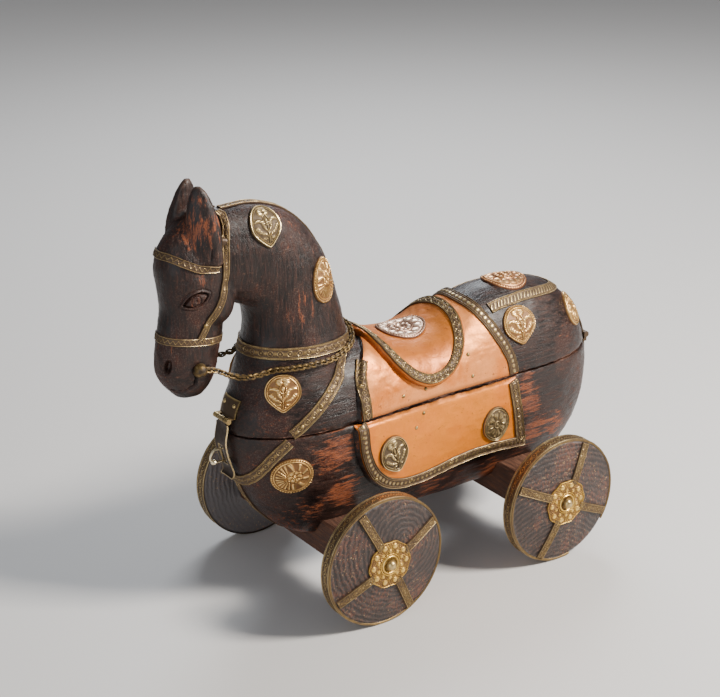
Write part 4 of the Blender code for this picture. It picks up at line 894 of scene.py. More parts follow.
def thicken(piece, outward, thick):
    # the faces point the way the sheet faces before it gets its thickness
    first = piece.data.polygons[len(piece.data.polygons) // 2]
    if first.normal.dot(Vector(outward(first.center / mm))) < 0:
        deselect()
        piece.select_set(True)
        bpy.context.view_layer.objects.active = piece
        bpy.ops.object.mode_set(mode="EDIT")
        bpy.ops.mesh.select_all(action="SELECT")
        bpy.ops.mesh.flip_normals()
        bpy.ops.object.mode_set(mode="OBJECT")
    modifier(piece, "SOLIDIFY", thickness=thick * mm, offset=1.0)
    return piece


def skinGrid(skin, places, gap):
    # lifts a grid of skin points off the skin along even normals
    shape = places.shape
    normals = np.array([skin.nearest(p)[1] for p in places.reshape(-1, 3)]).reshape(shape)
    normals = rollingMean(rollingMean(normals, 2).transpose(1, 0, 2), 2).transpose(1, 0, 2)
    normals /= np.linalg.norm(normals, axis=2, keepdims=True)
    return places + normals * gap, normals


lowDegrees = math.degrees(math.atan2(horse["seam"] + 1.4 - cloth["axis"], horse["halfWidth"]))
rows = []
for degrees in np.linspace(lowDegrees, 180 - lowDegrees, 150):
    front, rear = clothEdges(degrees)
    front, rear = front - 0.9, rear + 0.9
    rows.append([wood.ringPoint(front + (rear - front) * s, degrees) for s in np.linspace(0, 1, 74)])
points, normals = skinGrid(wood, np.array(rows), 0.2)
clothSheet = thicken(sheetPiece("saddle_cloth_sheet", points, normals, scratch=cloth["scratch"]),
                     lambda p: (0, p[1], p[2] - cloth["axis"]), 0.45)
clothSkin = Skin(form, clothSheet)

seat = {"sizes": 30, "turns": 180, "reach": 82.0, "thick": 3.4}


def seatPlace(size, turn):
    a = math.radians(turn)
    return wood.ringPoint(horse["seatCentre"] - horse["seatHalf"] * size * math.cos(a), 90 - seat["reach"] * size * math.sin(a))


rows = []
under = [0.8, 0.6, 0.4, 0.2, 0.002]
sizes = np.concatenate([np.linspace(0.002, 0.955, seat["sizes"]), [0.975, 0.988, 0.996, 1.0, 1.0], under])
for size in sizes:
    rows.append([seatPlace(size, 360 * i / seat["turns"]) for i in range(seat["turns"] + 1)])
places = np.array(rows)
_, normals = skinGrid(wood, places, 0)
normals[:, -1] = normals[:, 0]
places[:, -1] = places[:, 0]
rises = np.concatenate([np.full(seat["sizes"], 1.0), [0.97, 0.88, 0.66, 0.4, 0.0], np.zeros(len(under))]) * seat["thick"] + 0.6
dents = wander(places.reshape(-1, 3), 8.0, 5.0).reshape(places.shape[:2]) * 0.22
piece = gridPiece("seat_sheet", places + normals * (rises[:, None] + dents * (rises[:, None] > 3))[:, :, None])
attribute(piece, "edge", np.repeat(np.clip((sizes - 0.97) / 0.03, 0, 1)[:, None], seat["turns"] + 1, 1))
seatSheet = joinUp(piece)
print("seat")

panelSheets = {}
for side, hand in ((1, "left"), (-1, "right")):
    line = curveThrough([(panel["topFront"], horse["seam"] - 1.0)] + panel["edge"], 12)
    rows = []
    shares = np.linspace(0, 1, 120)
    at = np.concatenate([[0], np.cumsum(np.linalg.norm(np.diff(line, axis=0), axis=1))])
    edge = np.stack([np.interp(shares * at[-1], at, line[:, k]) for k in (0, 1)], 1)
    back = np.gradient(edge, axis=0)
    inward = np.stack([back[:, 1], -back[:, 0]], 1)
    inward /= np.linalg.norm(inward, axis=1, keepdims=True)
    if inward[60][1] < 0:
        inward = -inward
    edge = edge + inward * 0.9
    edge[-1] = (panel["edge"][-1][0] + 1.2, panel["edge"][-1][1] + 0.9)
    for t in np.linspace(0, 1, 46):
        row = []
        for s, (x, z) in zip(shares, edge):
            topX = panel["topFront"] - 0.9 + (panel["topRear"] - panel["topFront"] + 1.8) * s
            topZ = horse["seam"] - 1.0
            row.append(wood.sidePoint(topX + (x - topX) * t, topZ + (z - topZ) * t, side))
        rows.append(row)
    points, normals = skinGrid(wood, np.array(rows), 0.2)
    panelSheets[side] = thicken(sheetPiece(f"saddle_panel_sheet_{hand}", points, normals, 0.2, 2.0 + side),
                                lambda p, side=side: (0, side, 0), 0.45)
panelSkin = Skin(form, panelSheets[1], panelSheets[-1])
topSkin = Skin(form, clothSheet, seatSheet)
dress(clothSheet, "lid", "cloth", "saddle_cloth_lid", slot="copper_sheet")
dress(seatSheet, "lid", "seat", "seat", slot="copper_sheet")
dress(panelSheets[1], "body", "panel", "saddle_panel_left", slot="copper_sheet")
dress(panelSheets[-1], "body", "panel", "saddle_panel_right", slot="copper_sheet")
print("copper sheets")

# Brass strips
straps = {"width": 6.6, "inset": 4.1, "crest": 4.0, "bridle": 4.2, "collarHeight": 150.5}
seamUpper, seamLower = horse["seam"] + 0.9, horse["seam"] - 0.9
crest = [(47, 0, 160), (53, 0, 182), (66, 0, 209), (84, 0, 226), (106, 0, 234), (121, 0, 235)]
dress(ribbon("crest_band", crest, straps["crest"], wood, zigzagPattern), "lid", "strap", "crest_strip", slot="aged_brass")
collar = [(76 + 34 * math.cos(a), 25 * math.sin(a), straps["collarHeight"] + 1.5 * math.cos(a))
          for a in (math.tau * i / 24 for i in range(24))]
dress(ribbon("collar_band", collar, straps["width"], wood, scrollPattern, True), "lid", "strap", "collar_strip",
      slot="aged_brass")
rim = [wood.ringPoint(horse["seatCentre"] - horse["seatHalf"] * 0.905 * math.cos(math.tau * i / 60),
                      90 - seat["reach"] * 0.905 * math.sin(math.tau * i / 60)) for i in range(60)]
dress(ribbon("seat_rim_band", rim, 5.6, topSkin, circlePattern, True), "lid", "strap", "seat_rim", slot="aged_brass")
for side, hand in ((1, "left"), (-1, "right")):
    route = [(56, side * 25, 145), (61, side * 27, 138.5), (68, side * 28, 130), (80, side * 31, 120.5), (94, side * 31, 110),
             (97, side * 29, seamUpper + 0.6)]
    dress(ribbon(f"breast_band_{hand}", route, straps["width"], wood, scrollPattern), "lid", "strap",
          f"breast_strap_lid_{hand}", slot="aged_brass")
    frontX = cloth["front"] - straps["inset"]
    route = [(frontX, side * 34, seamUpper + 0.6), (frontX, side * 34, 118), (frontX, side * 34, 128),
             (frontX - 1.5, side * 30, 137), (frontX - 3, side * 27, 142)]
    dress(ribbon(f"saddle_front_band_{hand}", route, straps["width"], topSkin, circlePattern), "lid", "strap",
          f"saddle_front_strip_{hand}", slot="aged_brass")
    line = curveThrough([(panel["topFront"], seamLower)] + panel["edge"], 12)
    back = np.gradient(line, axis=0)
    inward = np.stack([back[:, 1], -back[:, 0]], 1)
    inward /= np.linalg.norm(inward, axis=1, keepdims=True)
    if inward[60][1] < 0:
        inward = -inward
    line = (line + inward * 4.3)[::4]
    line[0][1] = seamLower - 0.3
    line[-1] = (panel["edge"][-1][0] + 1.8, panel["edge"][-1][1] + 4.6)
    low = ribbon(f"panel_low_band_{hand}", [wood.sidePoint(x, z, side) for x, z in line], straps["width"], panelSkin,
                 beadPattern)
    (x0, z0), (x1, z1) = panel["edge"][-1], (panel["topRear"], horse["seam"] - 0.85)
    long = math.hypot(x1 - x0, z1 - z0)
    px, pz = (z1 - z0) / long * 4.3, -(x1 - x0) / long * 4.3
    route = [wood.sidePoint(x0 + px + (x1 - x0) * t, z0 + pz + (z1 - z0) * t, side) for t in np.linspace(0.14, 0.985, 7)]
    rear = ribbon(f"panel_rear_band_{hand}", route, straps["width"], panelSkin, scrollPattern, gap=0.45)
    dress(joinPieces([low, rear], f"panel_band_{hand}"), "body", "strap", f"panel_border_{hand}", slot="aged_brass")
breast = [(98, 28.5, seamLower - 1.5), (105.5, 22, 94), (110, 14, 83.5), (112.5, 7, 78.5), (113.5, 0, 77)]
breast += [(x, -y, z) for x, y, z in breast[-2::-1]]
keel = [(113, 0, 74), (109, 0, 66), (104, 0, 58), (96, 0, 49), (79.5, 0, 38)]
breastBand = joinPieces([ribbon("breast_low", breast, straps["width"], wood, scrollPattern),
                         ribbon("keel", keel, straps["crest"], wood, zigzagPattern)], "breast_low_band")
dress(breastBand, "body", "strap", "breast_strap_base", slot="aged_brass")
rear = [wood.ringPoint(float(clothEdges(d)[1]) + straps["inset"], d) for d in np.linspace(lowDegrees + 1, 179 - lowDegrees, 15)]
dress(ribbon("saddle_rear_band", rear, straps["width"], topSkin, beadPattern), "lid", "strap", "saddle_rear_strap",
      slot="aged_brass")
crupper = [(-46, 20.5, 147), (-58, 20.3, 149), (-72, 19, 149), (-86, 16, 147), (-98, 10, 143), (-105, 0, 141)]
crupper += [(x, -y, z) for x, y, z in crupper[-2::-1]]
dress(ribbon("crupper_band", crupper, straps["width"], wood, dashPattern), "lid", "strap", "crupper_strap",
      slot="aged_brass")
noseband = [(142 + 19 * math.cos(a), 13 * math.sin(a), 166.5 + 3 * math.cos(a))
            for a in (math.tau * i / 24 for i in range(24))]
dress(ribbon("nose_band", noseband, straps["bridle"], wood, zigzagPattern, True, rise=0.28, thick=0.32, gap=0.15), "lid",
      "strap", "noseband", slot="aged_brass")
for side, hand in ((1, "left"), (-1, "right")):
    cheek = [(122.5, side * 6, 236), (124.5, side * 11, 225), (126, side * 14, 210), (127, side * 14, 198),
             (130, side * 14, 188), (135.5, side * 14, 178.5), (141.5, side * 12.6, 167.5)]
    dress(ribbon(f"cheek_band_{hand}", cheek, straps["bridle"], wood, lambda u, v: scrollPattern(u * 1.5, v)), "lid", "strap",
          f"cheek_strap_{hand}", slot="aged_brass")
brow = [(131, 16, 206.5), (141, 16, 207.5), (149, 12, 211), (154, 6, 213.5), (156, 0, 214)]
brow += [(x, -y, z) for x, y, z in brow[-2::-1]]
dress(ribbon("brow_band", brow, straps["bridle"], wood, zigzagPattern), "lid", "strap", "browband", slot="aged_brass")
print("brass strips")


# Medallions: a domed plate with a pattern, laid on a skin
def rimLines(s, a, beads):
    outer = bumpAt(s, 0.955, 0.05) * (0.65 + 0.35 * np.cos(beads * a) if beads else 1)
    return np.maximum(outer, 0.85 * bumpAt(s, 0.85, 0.035))


def flowerRelief(s, a, petals=8, beads=0):
    petal = np.abs(np.cos(petals * a / 2)) ** 0.6 * bumpAt(s, 0.5, 0.28)
    vein = 0.35 * bumpAt(np.abs(np.sin(petals * a / 2)), 0.0, 0.16) * bumpAt(s, 0.5, 0.24)
    tips = np.clip(np.cos(petals * a + math.pi), 0, 1) * bumpAt(s, 0.72, 0.1)
    heart = highest(np.clip(1 - s / 0.11, 0, 1) ** 0.5, 0.8 * bumpAt(s, 0.19, 0.05))
    return highest(petal * 0.9 - vein, 0.85 * tips, heart, rimLines(s, a, beads), 0.2 + 0 * s * a)


def sprayRelief(s, a, beads=0):
    # curling leaves on both sides of a stem that starts at the tip
    x, y = s * np.cos(a), s * np.sin(a)
    phi, rho = np.arctan2(np.abs(y), 0.7 - x), np.hypot(y, 0.7 - x)
    curl = 0.5 + 0.5 * np.cos(phi * 11 - 5.5 * rho + 1.2 * np.sin(rho * 9))
    leaf = np.clip(curl * 1.5 - 0.35, 0, 1) * smoothstep(0.1, 0.22, rho) * smoothstep(0.83, 0.76, s)
    ribs = 0.8 + 0.2 * np.cos(rho * 46 - phi * 12)
    stem = bumpAt(y, 0, 0.06) * (s < 0.78) * (x > -0.1)
    r = np.hypot((x + 0.2) / 0.26, y / 0.2)
    bud = highest(np.clip(1 - r / 0.6, 0, 1) ** 0.5, 0.9 * bumpAt(r, 0.92, 0.14))
    leaf = leaf * smoothstep(0.95, 1.15, r)
    return highest(leaf * ribs, 0.9 * stem, bud, rimLines(s, a, beads), 0.18 + 0 * x)


def fanRelief(s, a, beads=46):
    x, y = s * np.cos(a), s * np.sin(a)
    r, b = np.hypot(x - 0.1, y), np.arctan2(y, x - 0.1)
    flower = flowerRelief(np.clip(r / 0.46, 0, 0.8), b, 6) * smoothstep(0.4, 0.36, r)
    fan = (0.5 + 0.5 * np.cos(np.arctan2(y, x + 0.15) * 22)) * (x < -0.12) * smoothstep(0.8, 0.76, s) * (r > 0.4)
    leaves = np.clip(np.cos(b * 9 + 4 * r), 0, 1) ** 0.7 * (r > 0.4) * smoothstep(0.8, 0.76, s) * (x > -0.12)
    return highest(flower, 0.8 * fan, 0.85 * leaves, rimLines(s, a, beads), 0.18 + 0 * x)


def rosetteRelief(s, a, petals=12, beads=52):
    outer = np.abs(np.cos(petals * a / 2)) ** 0.55 * bumpAt(s, 0.66, 0.19)
    inner = np.abs(np.cos(petals * a / 2 + 0.8)) ** 0.6 * bumpAt(s, 0.34, 0.11)
    heart = highest(np.clip(1 - s / 0.1, 0, 1) ** 0.5, bumpAt(s, 0.17, 0.045))
    line = 0.8 * bumpAt(s, 0.46, 0.03)
    studs = np.clip(np.cos(petals * a + math.pi), 0, 1) * bumpAt(s, 0.78, 0.07)
    return highest(outer, inner * 0.9, heart, line, studs, rimLines(s, a, beads))


medallions = {"turns": 150, "rings": 30, "rise": 0.85, "crown": 1.0, "list": [
    ("neck_upper", (100.5, 14, 224), 22, 19, 180, 0.5, "lid", sprayRelief, "panelMedal"),
    ("neck_lower", (67.5, 14, 186), 25, 17, 14, 0.0, "lid", fanRelief, "medal"),
    ("chest", (100, 26, 132), 20, 20, 180, 0.5, "lid", sprayRelief, "medal"),
    ("prow", (97, 29, 83), 24, 21, 80, 0.0, "body", fanRelief, "medal"),
    ("panel_front", (34, 36, 82), 23, 19, 160, 0.35, "panel", sprayRelief, "panelMedal"),
    ("panel_rear", (-40, 34, 80), 22, 19, 170, 0.2, "panel", flowerRelief, "panelMedal"),
    ("rump_side", (-62.5, 25, 134), 22, 23, 180, 0.5, "lid", lambda s, a: sprayRelief(s, a, 48), "medal"),
    ("rump_rear", (-109, 14, 129), 22, 17, 20, 0.0, "lid", flowerRelief, "medal")]}


def medallion(name, centre, skin, longSide, shortSide, turnBy, leaf, pattern, gap=0.3, thick=0.45):
    centre, normal = skin.nearest(centre)
    rise = skin.height(centre, normal)
    centre = centre + normal * rise
    up = Vector((0, 0, 1)) - normal * normal.z
    if up.length < 0.35:
        up = Vector((1, 0, 0)) - normal * normal.x
    up.normalize()
    across = up.cross(normal)
    angle = math.radians(turnBy)
    longAxis = np.array(up * math.cos(angle) + across * math.sin(angle))
    shortAxis = np.array(across * math.cos(angle) - up * math.sin(angle))
    turns, rings = medallions["turns"], medallions["rings"]
    a = np.linspace(0, math.tau, turns + 1)[None, :]
    s = np.concatenate([[0.003], np.linspace(0.035, 1.0, rings)])[:, None]
    reach = np.maximum(np.cos(a), 0)
    x = longSide / 2 * (np.cos(a) + leaf * 0.25 * reach ** 4) * s
    y = shortSide / 2 * np.sin(a) * (1 - leaf * reach ** 3) * s
    flat = np.array(centre) + x[:, :, None] * longAxis + y[:, :, None] * shortAxis
    heights = np.empty(flat.shape[:2])
    for i in range(flat.shape[0]):
        for j in range(turns):
            found = skin.height(Vector(flat[i, j]), normal, 9.0)
            heights[i, j] = -1.5 if found is None else found
        heights[i, -1] = heights[i, 0]
    heights = rollingMean(heights[:, :-1].T, 2, True).T
    heights = np.concatenate([heights, heights[:, :1]], 1)
    heights = rollingMean(heights, 2)
    relief = np.clip(pattern(s, a) + 0 * s * a, 0, 1)
    crown = medallions["crown"] * (1 - s ** 2)
    rise = heights + gap + thick + crown + medallions["rise"] * relief
    top = flat + rise[:, :, None] * np.array(normal)
    skirt = flat[-1:] + (heights[-1:] + 0.05)[:, :, None] * np.array(normal)
    middle = np.array(centre + normal * (float(heights[0, 0]) - 0.1)) + 0 * skirt
    piece = gridPiece(name, np.concatenate([top, skirt, middle], 0))
    attribute(piece, "relief", np.concatenate([relief, np.zeros((2, turns + 1))], 0))
    return joinUp(piece)


for label, centre, longSide, shortSide, turnBy, leaf, surface, pattern, look in medallions["list"]:
    for side, hand in ((1, "left"), (-1, "right")):
        skin = panelSkin if surface == "panel" else wood
        made = medallion(f"medal_{label}_{hand}", (centre[0], side * centre[1], centre[2]), skin, longSide, shortSide,
                         side * turnBy, leaf, pattern)
        dress(made, "lid" if surface == "lid" else "body", look, f"medallion_{label}_{hand}", slot="bright_brass")
seatTop = Skin(seatSheet)
dress(medallion("medal_seat", (4, 0, 142), seatTop, 29, 27, 0, 0, rosetteRelief), "lid", "rosette",
      "medallion_seat", slot="bright_brass")
dress(medallion("medal_rump_top", (-71, 0, 156), wood, 28, 26, 0, 0, rosetteRelief), "lid", "rumpRosette",
      "medallion_rump_top", slot="bright_brass")
print("medallions")

# Wheels
wheels = {"radius": 38.0, "thick": 8.0, "dome": 3.0, "y": 64.5, "axle": 63.0, "rosette": 14.0, "spoke": 5.2,
          "bore": 1.9, "nail": 3.2, "turns": {"front_left": 63, "rear_left": 26, "front_right": 40, "rear_right": 10},
          "lobes": 10, "missing": {"rear_left": (214, 259)}}


def wheelPlace(centre, side, radius, angle, out):
    return np.stack([centre[0] + radius * np.cos(angle) + 0 * out, centre[1] + side * out + 0 * radius * angle,
                     centre[2] + radius * np.sin(angle) + 0 * out], -1)


def lathe(name, profile, turns, centre, side):
    profile = np.array(profile)
    a = np.linspace(0, math.tau, turns + 1)[None, :]
    return joinUp(gridPiece(name, wheelPlace(centre, side, profile[:, :1], a, profile[:, 1:])))


def domeAt(radius):
    half, wide = wheels["thick"] / 2, wheels["radius"] - 0.8
    return half + wheels["dome"] * (1 - np.clip((radius - wheels["rosette"]) / (wide - wheels["rosette"]), 0, 1) ** 1.3)


def makeWheel(place, x, side):
    label = f"{place}_{'left' if side > 0 else 'right'}"
    centre = np.array((x, side * wheels["y"], wheels["radius"]))
    half, edge = wheels["thick"] / 2, wheels["radius"] - 0.7
    body = f"wheel_{label}"
    seed = x + side * 7
    a = np.linspace(0, math.tau, 241)[None, :]
    radii = np.concatenate([[wheels["bore"], wheels["bore"]], np.linspace(3, edge - 1.6, 44), [edge - 0.9, edge - 0.4, edge - 0.1,
                            edge, edge, edge - 0.5, edge - 1.5, 20, wheels["bore"], wheels["bore"]]])[:, None]
    outs = np.concatenate([[-half, float(domeAt(2))], domeAt(np.linspace(3, edge - 1.6, 44)),
                           [half - 0.05, half - 0.3, half - 0.7, half - 1.3, -half + 1.2, -half + 0.4, -half, -half, -half,
                            -half]])[:, None]
    spots = wheelPlace(centre, side, radii, a, outs)
    rough = wander(spots.reshape(-1, 3) * np.array([1, 1, 0.5]), 5.0, seed).reshape(spots.shape[:2])
    rough[:, -1] = rough[:, 0]
    spots[2:46, :, 1] += side * (rough[2:46] * 0.22 - 0.12)
    disc = joinUp(gridPiece(f"disc_{label}", spots))
    markEdges(disc, 3, 1.6)
    discLook = "wheel " + label
    looks[discLook] = wheelWood("wheel wood " + label, (-x - shift.x - 9 * side, 0, -wheels["radius"] + 14))
    dress(disc, body, discLook, f"wheel_{label}_disc", slot="wheel_wood", angle=60)
    # the rim strip: a lip on the face, then the embossed band round the edge
    gone = wheels["missing"].get(label)
    start, end = (gone[1], gone[0] + 360) if gone else (0, 360)
    count = round((end - start) * 600 / 360)
    angle = np.radians(np.linspace(start, end, count + 1))[:, None]
    across = [(edge - 0.8, half - 0.3), (edge - 0.8, half + 0.2), (edge - 0.6, half + 0.38), (edge - 0.35, half + 0.22),
              (edge - 0.15, half + 0.24), (edge + 0.1, half + 0.4), (edge + 0.4, half + 0.3)]
    v = np.linspace(-1, 1, 20)
    profile = across + [(edge + 0.33, half * 0.02 - h * (half - 0.1)) for h in v] + [(edge + 0.1, -half + 0.1),
                                                                                     (edge + 0.1, half - 0.2)]
    profile = np.array(profile + profile[:1])
    relief = np.zeros((count + 1, len(profile)))
    relief[:, 7:27] = scrollPattern(angle * wheels["radius"], v[None, :])
    if not gone:
        relief[-1] = relief[0]
    marks = relief.copy()
    marks[:, 1:7] = 0.5
    dentsAlong = wander(np.c_[np.cos(angle), np.sin(angle), angle * 0] * 8, 1.0, seed)[:, None] * 0.12
    radius = profile[None, :, 0] + 0.28 * relief + dentsAlong
    spots = wheelPlace(centre, side, radius, angle, profile[None, :, 1])
    rim = gridPiece(f"rim_{label}", spots)
    attribute(rim, "relief", marks)
    pieces = [joinUp(rim)]
    # spokes
    for i in range(4):
        a0 = math.radians(wheels["turns"][label] + 90 * i)
        u = np.linspace(wheels["rosette"] - 2.5, edge - 1.2, 62)[:, None]
        v = np.linspace(-1, 1, 15)[None, :]
        relief = np.clip(highest(meshPattern(u, v), 0.75 * scrollPattern(u * 1.6, v)), 0, 1)
        out = domeAt(u) + 0.4 + 0.65 * relief + 0.2
        px = u * math.cos(a0) - v * wheels["spoke"] / 2 * math.sin(a0)
        pz = u * math.sin(a0) + v * wheels["spoke"] / 2 * math.cos(a0)
        top = np.stack([centre[0] + px, centre[1] + side * (out + 0 * v), centre[2] + pz], -1)
        low = top[:, (0, -1)].copy()
        low[:, :, 1] = centre[1] + side * (domeAt(u) + 0.02)
        band = np.concatenate([low[:, :1], top, low[:, 1:], low[:, :1]], 1)
        spoke = gridPiece("spoke", band)
        attribute(spoke, "relief", np.pad(relief, ((0, 0), (1, 2))))
        pieces.append(joinUp(spoke))
    # rosette
    lobes = wheels["lobes"]
    s = np.concatenate([np.linspace(wheels["bore"] / wheels["rosette"], 1, 44)])[:, None]
    a = np.linspace(0, math.tau, 201)[None, :]
    scallop = 1 - 0.045 * np.abs(np.sin(lobes * a / 2)) ** 2 * smoothstep(0.7, 1.0, s)
    radius = s * wheels["rosette"] * scallop
    near = (a * lobes / math.tau + 0.5) % 1 - 0.5
    ball = np.sqrt(np.clip(1 - (near * math.tau / lobes * s * 14 / 1.8) ** 2 - ((s * 14 - 10.9) / 1.75) ** 2, 0, 1))
    near2 = (a * lobes / math.tau) % 1 - 0.5
    small = np.sqrt(np.clip(1 - (near2 * math.tau / lobes * s * 14 / 1.2) ** 2 - ((s * 14 - 8.0) / 1.2) ** 2, 0, 1))
    rings = np.maximum(bumpAt(s * 14, 4.9, 0.7), 0.7 * bumpAt(s * 14, 6.3, 0.4))
    crumbs = 0.5 * np.abs(np.sin(s * 30 + 2 * np.sin(a * 10))) * np.abs(np.sin(a * 25 + s * 11))
    relief = np.clip(highest(ball, small * 0.8, rings + 0 * a, crumbs + 0 * s, 0.6 * bumpAt(s, 0.985, 0.03) + 0 * a), 0, 1)
    out = wheels["dome"] + half + 0.35 + 0.5 * (1 - s ** 2) + 0.95 * relief
    spots = wheelPlace(centre, side, radius, a, out)
    skirt = wheelPlace(centre, side, radius[-1:], a, np.full((1, 1), half + wheels["dome"] - 0.15) + 0 * a)
    bore = wheelPlace(centre, side, radius[:1], a, np.full((1, 1), half + wheels["dome"] - 0.15) + 0 * a)
    rosette = gridPiece(f"rosette_{label}", np.concatenate([bore, spots, skirt, bore]))
    attribute(rosette, "relief", np.concatenate([relief[:1] * 0, relief, relief[:2] * 0]))
    dress(joinUp(rosette), body, "hub", slot="bright_brass")
    dress(joinPieces(pieces, f"wheel_brass_{label}"), body, "strap", f"wheel_{label}_brass", slot="aged_brass")
    # the nail it turns on: shank, collar and domed head
    base = half + wheels["dome"] + 1.62
    profile = [(0.001, base + 2.95), (0.8, base + 2.85), (1.6, base + 2.5), (2.3, base + 1.9), (2.75, base + 1.2),
               (2.85, base + 0.7), (3.15, base + 0.6), (3.2, base + 0.35), (3.05, base + 0.15), (1.5, base + 0.1),
               (1.5, base - 21.5), (0.001, base - 21.7)]
    nail = lathe(f"nail_{label}", profile, 40, centre, side)
    attribute(nail, "relief", np.clip((np.abs(coordinates(nail)[:, 1]) - 72) / 3.5, 0.25, 0.85))
    dress(nail, "body", "plain", f"wheel_{label}_nail", slot="bright_brass")


for place, x in (("front", wheels["axle"]), ("rear", -wheels["axle"])):
    for side in (1, -1):
        makeWheel(place, x, side)
print("wheels")

# Rein chain: links modelled once, then copied along the route in two twisted strands
chain = {"boss": (142.4, 151.0), "room": 2.1, "pitch": 1.8, "linkLong": 1.45, "wire": 0.56, "bossRadius": 3.9}
dressed = Skin(form, clothSheet, seatSheet, *(bpy.data.objects[n] for n in (
    "collar_band", "breast_band_left", "breast_band_right", "saddle_front_band_left", "saddle_front_band_right",
    "crest_band", "seat_rim_band")))
halves = []
for side, slack in ((1, 0.0), (-1, 5.0)):
    bossY = abs(wood.sidePoint(*chain["boss"], side).y)
    bx, bz = chain["boss"]
    half = [(bx - 1, bossY + 2.4, bz), (bx - 7, bossY + 3.0, bz - 0.5 - slack * 0.3), (131, bossY + 3.2, 148 - slack * 0.7),
            (124.5, 16.5, 144.5 - slack), (117, 20.5, 143.5 - slack * 0.6), (106, 24, 145), (94, 26, 144), (80, 27, 144),
            (66, 24, 144), (55, 18, 146), (47, 9, 149), (43.5, 0, 152)]
    halves.append([(px, side * py, pz) for px, py, pz in half])
line = evenPath(halves[0] + halves[1][-2::-1], chain["pitch"] / 2)
moved = []
for point in line:
    place, normal = dressed.nearest(point)
    point = Vector(point)
    if (point - place).length < 9 or point.x < 112:
        rise = dressed.height(place, normal) or 0.0
        want = rise + chain["room"]
        away = (point - place).dot(normal)
        point = place + normal * want if point.x < 112 else point + normal * max(0.0, want - away)
    moved.append(point)
spine = rollingMean(np.array(moved), 5)
deselect()
bpy.ops.mesh.primitive_torus_add(major_segments=12, minor_segments=6, major_radius=1.42 * mm,
                                 minor_radius=chain["wire"] * mm)
link = bpy.context.object
bpy.ops.object.mode_set(mode="EDIT")
bpy.ops.mesh.select_all(action="SELECT")
bpy.ops.transform.resize(value=(chain["linkLong"], 0.92, 1.0))
bpy.ops.object.mode_set(mode="OBJECT")
links = []
count = (len(spine) - 1) // 2
for i in range(count):
    here, ahead = Vector(spine[2 * i + 1]), Vector(spine[min(2 * i + 2, len(spine) - 1)] - spine[2 * i])
    _, normal = dressed.nearest(here)
    ahead.normalize()
    aside = ahead.cross(normal).normalized()
    up = aside.cross(ahead)
    tilt = math.radians(38 if i % 2 else -38)
    swing = math.radians(14 if i % 2 else -14)
    a = (aside * math.cos(tilt) + up * math.sin(tilt))
    b = ahead.cross(a)
    turned = Matrix((ahead, a, b)).transposed().to_4x4() @ Matrix.Rotation(swing, 4, "Z")
    copy = bpy.data.objects.new("link", link.data.copy())
    copy.data.transform(Matrix.Translation(here * mm) @ turned)
    bpy.context.scene.collection.objects.link(copy)
    links.append(copy)
drop(link)
for side in (1, -1):
    foot = wood.sidePoint(*chain["boss"], side)
    r = chain["bossRadius"]
    profile = [(0.001, 4.3), (1.0, 4.2), (2.0, 3.8), (2.9, 3.1), (3.5, 2.1), (3.75, 1.1), (3.9, 0.6), (3.9, 0.05), (0.001, 0.0)]
    boss = lathe("boss", profile, 40, np.array((chain["boss"][0], foot.y + side * 0.4, chain["boss"][1])), side)
    links.append(boss)
chainPiece = joinPieces(links, "rein_chain_links")
attribute(chainPiece, "relief", np.clip(0.55 + 0.4 * wander(coordinates(chainPiece), 1.5), 0, 1))
dress(chainPiece, "lid", "chain", "rein_chain", slot="aged_brass")
print("chain")


# Small domed nail heads on the left side, as far as the photo shows them, and mirrored on the right
nails = {"radius": 1.15, "high": 0.75,
         "lid": [(26, 114.1), (10.1, 114.2), (-0.8, 115.7), (-23.3, 113.7), (-22.2, 126), (79.3, 121), (91.5, 112),
                 (138.6, 175.4), (134.2, 164.6), (73.5, 127.5), (53.2, 112), (53.4, 126.5)],
         "body": [(13, 101.1), (17.8, 93.2), (56, 98), (46, 69.5), (20, 60.8), (-8, 63), (-36, 65.5)]}
outside = Skin(form, clothSheet, *(bpy.data.objects[n] for n in (
    "panel_band_left", "panel_band_right", "breast_band_left", "breast_band_right", "saddle_front_band_left",
    "saddle_front_band_right", "cheek_band_left", "cheek_band_right", "nose_band", "saddle_panel_sheet_left",
    "saddle_panel_sheet_right")))
for body in ("lid", "body"):
    heads = []
    for x, z in nails[body]:
        for side in (1, -1):
            hits = [tree.ray_cast(Vector((x, side * 80, z)), Vector((0, -side, 0)))[0] for tree in outside.trees]
            place = max((hit for hit in hits if hit is not None), key=lambda hit: side * hit.y)
            normal = outside.nearest(place)[1]
            first = normal.orthogonal().normalized()
            second = normal.cross(first)
            a = np.linspace(0, math.tau, 25)[None, :, None]
            r = np.array([0.002, 0.35, 0.65, 0.88, 1.0, 1.0, 0.002])[:, None, None] * nails["radius"]
            h = np.array([1.0, 0.95, 0.75, 0.42, 0.05, -0.6, -0.6])[:, None, None] * nails["high"]
            heads.append(joinUp(gridPiece("nail head", np.array(place) + r * np.cos(a) * np.array(first)
                                          + r * np.sin(a) * np.array(second) + h * np.array(normal))))
    heads = joinPieces(heads, f"nail_heads_{body}")
    attribute(heads, "relief", np.clip(0.6 + 0.4 * wander(coordinates(heads), 2.0), 0, 1))
    dress(heads, body, "plain", slot="aged_brass")
print("nails")

# Hasp: plate, flap with a slot and curled lip, and the wire staple with its lump of filler
hasp = {"hingeZ": 114.0, "hingeX": 122.8, "plateHalf": 7.6, "plateTop": 124.6, "flapHalf": 5.7, "stand": 1.9, "thick": 0.8,
        "flap": [(-0.4, -0.2), (3, 0.2), (6, 0.4), (13, 0.7), (20, 0.7), (26, 0.3), (31, 0.0), (33.6, 0.8), (35.0, 2.4),
                 (35.2, 3.3)],
        "slot": (15.5, 27.5, 2.3), "knuckle": 1.5, "pin": 0.65, "wire": 0.75, "ring": (122.6, 131.1)}


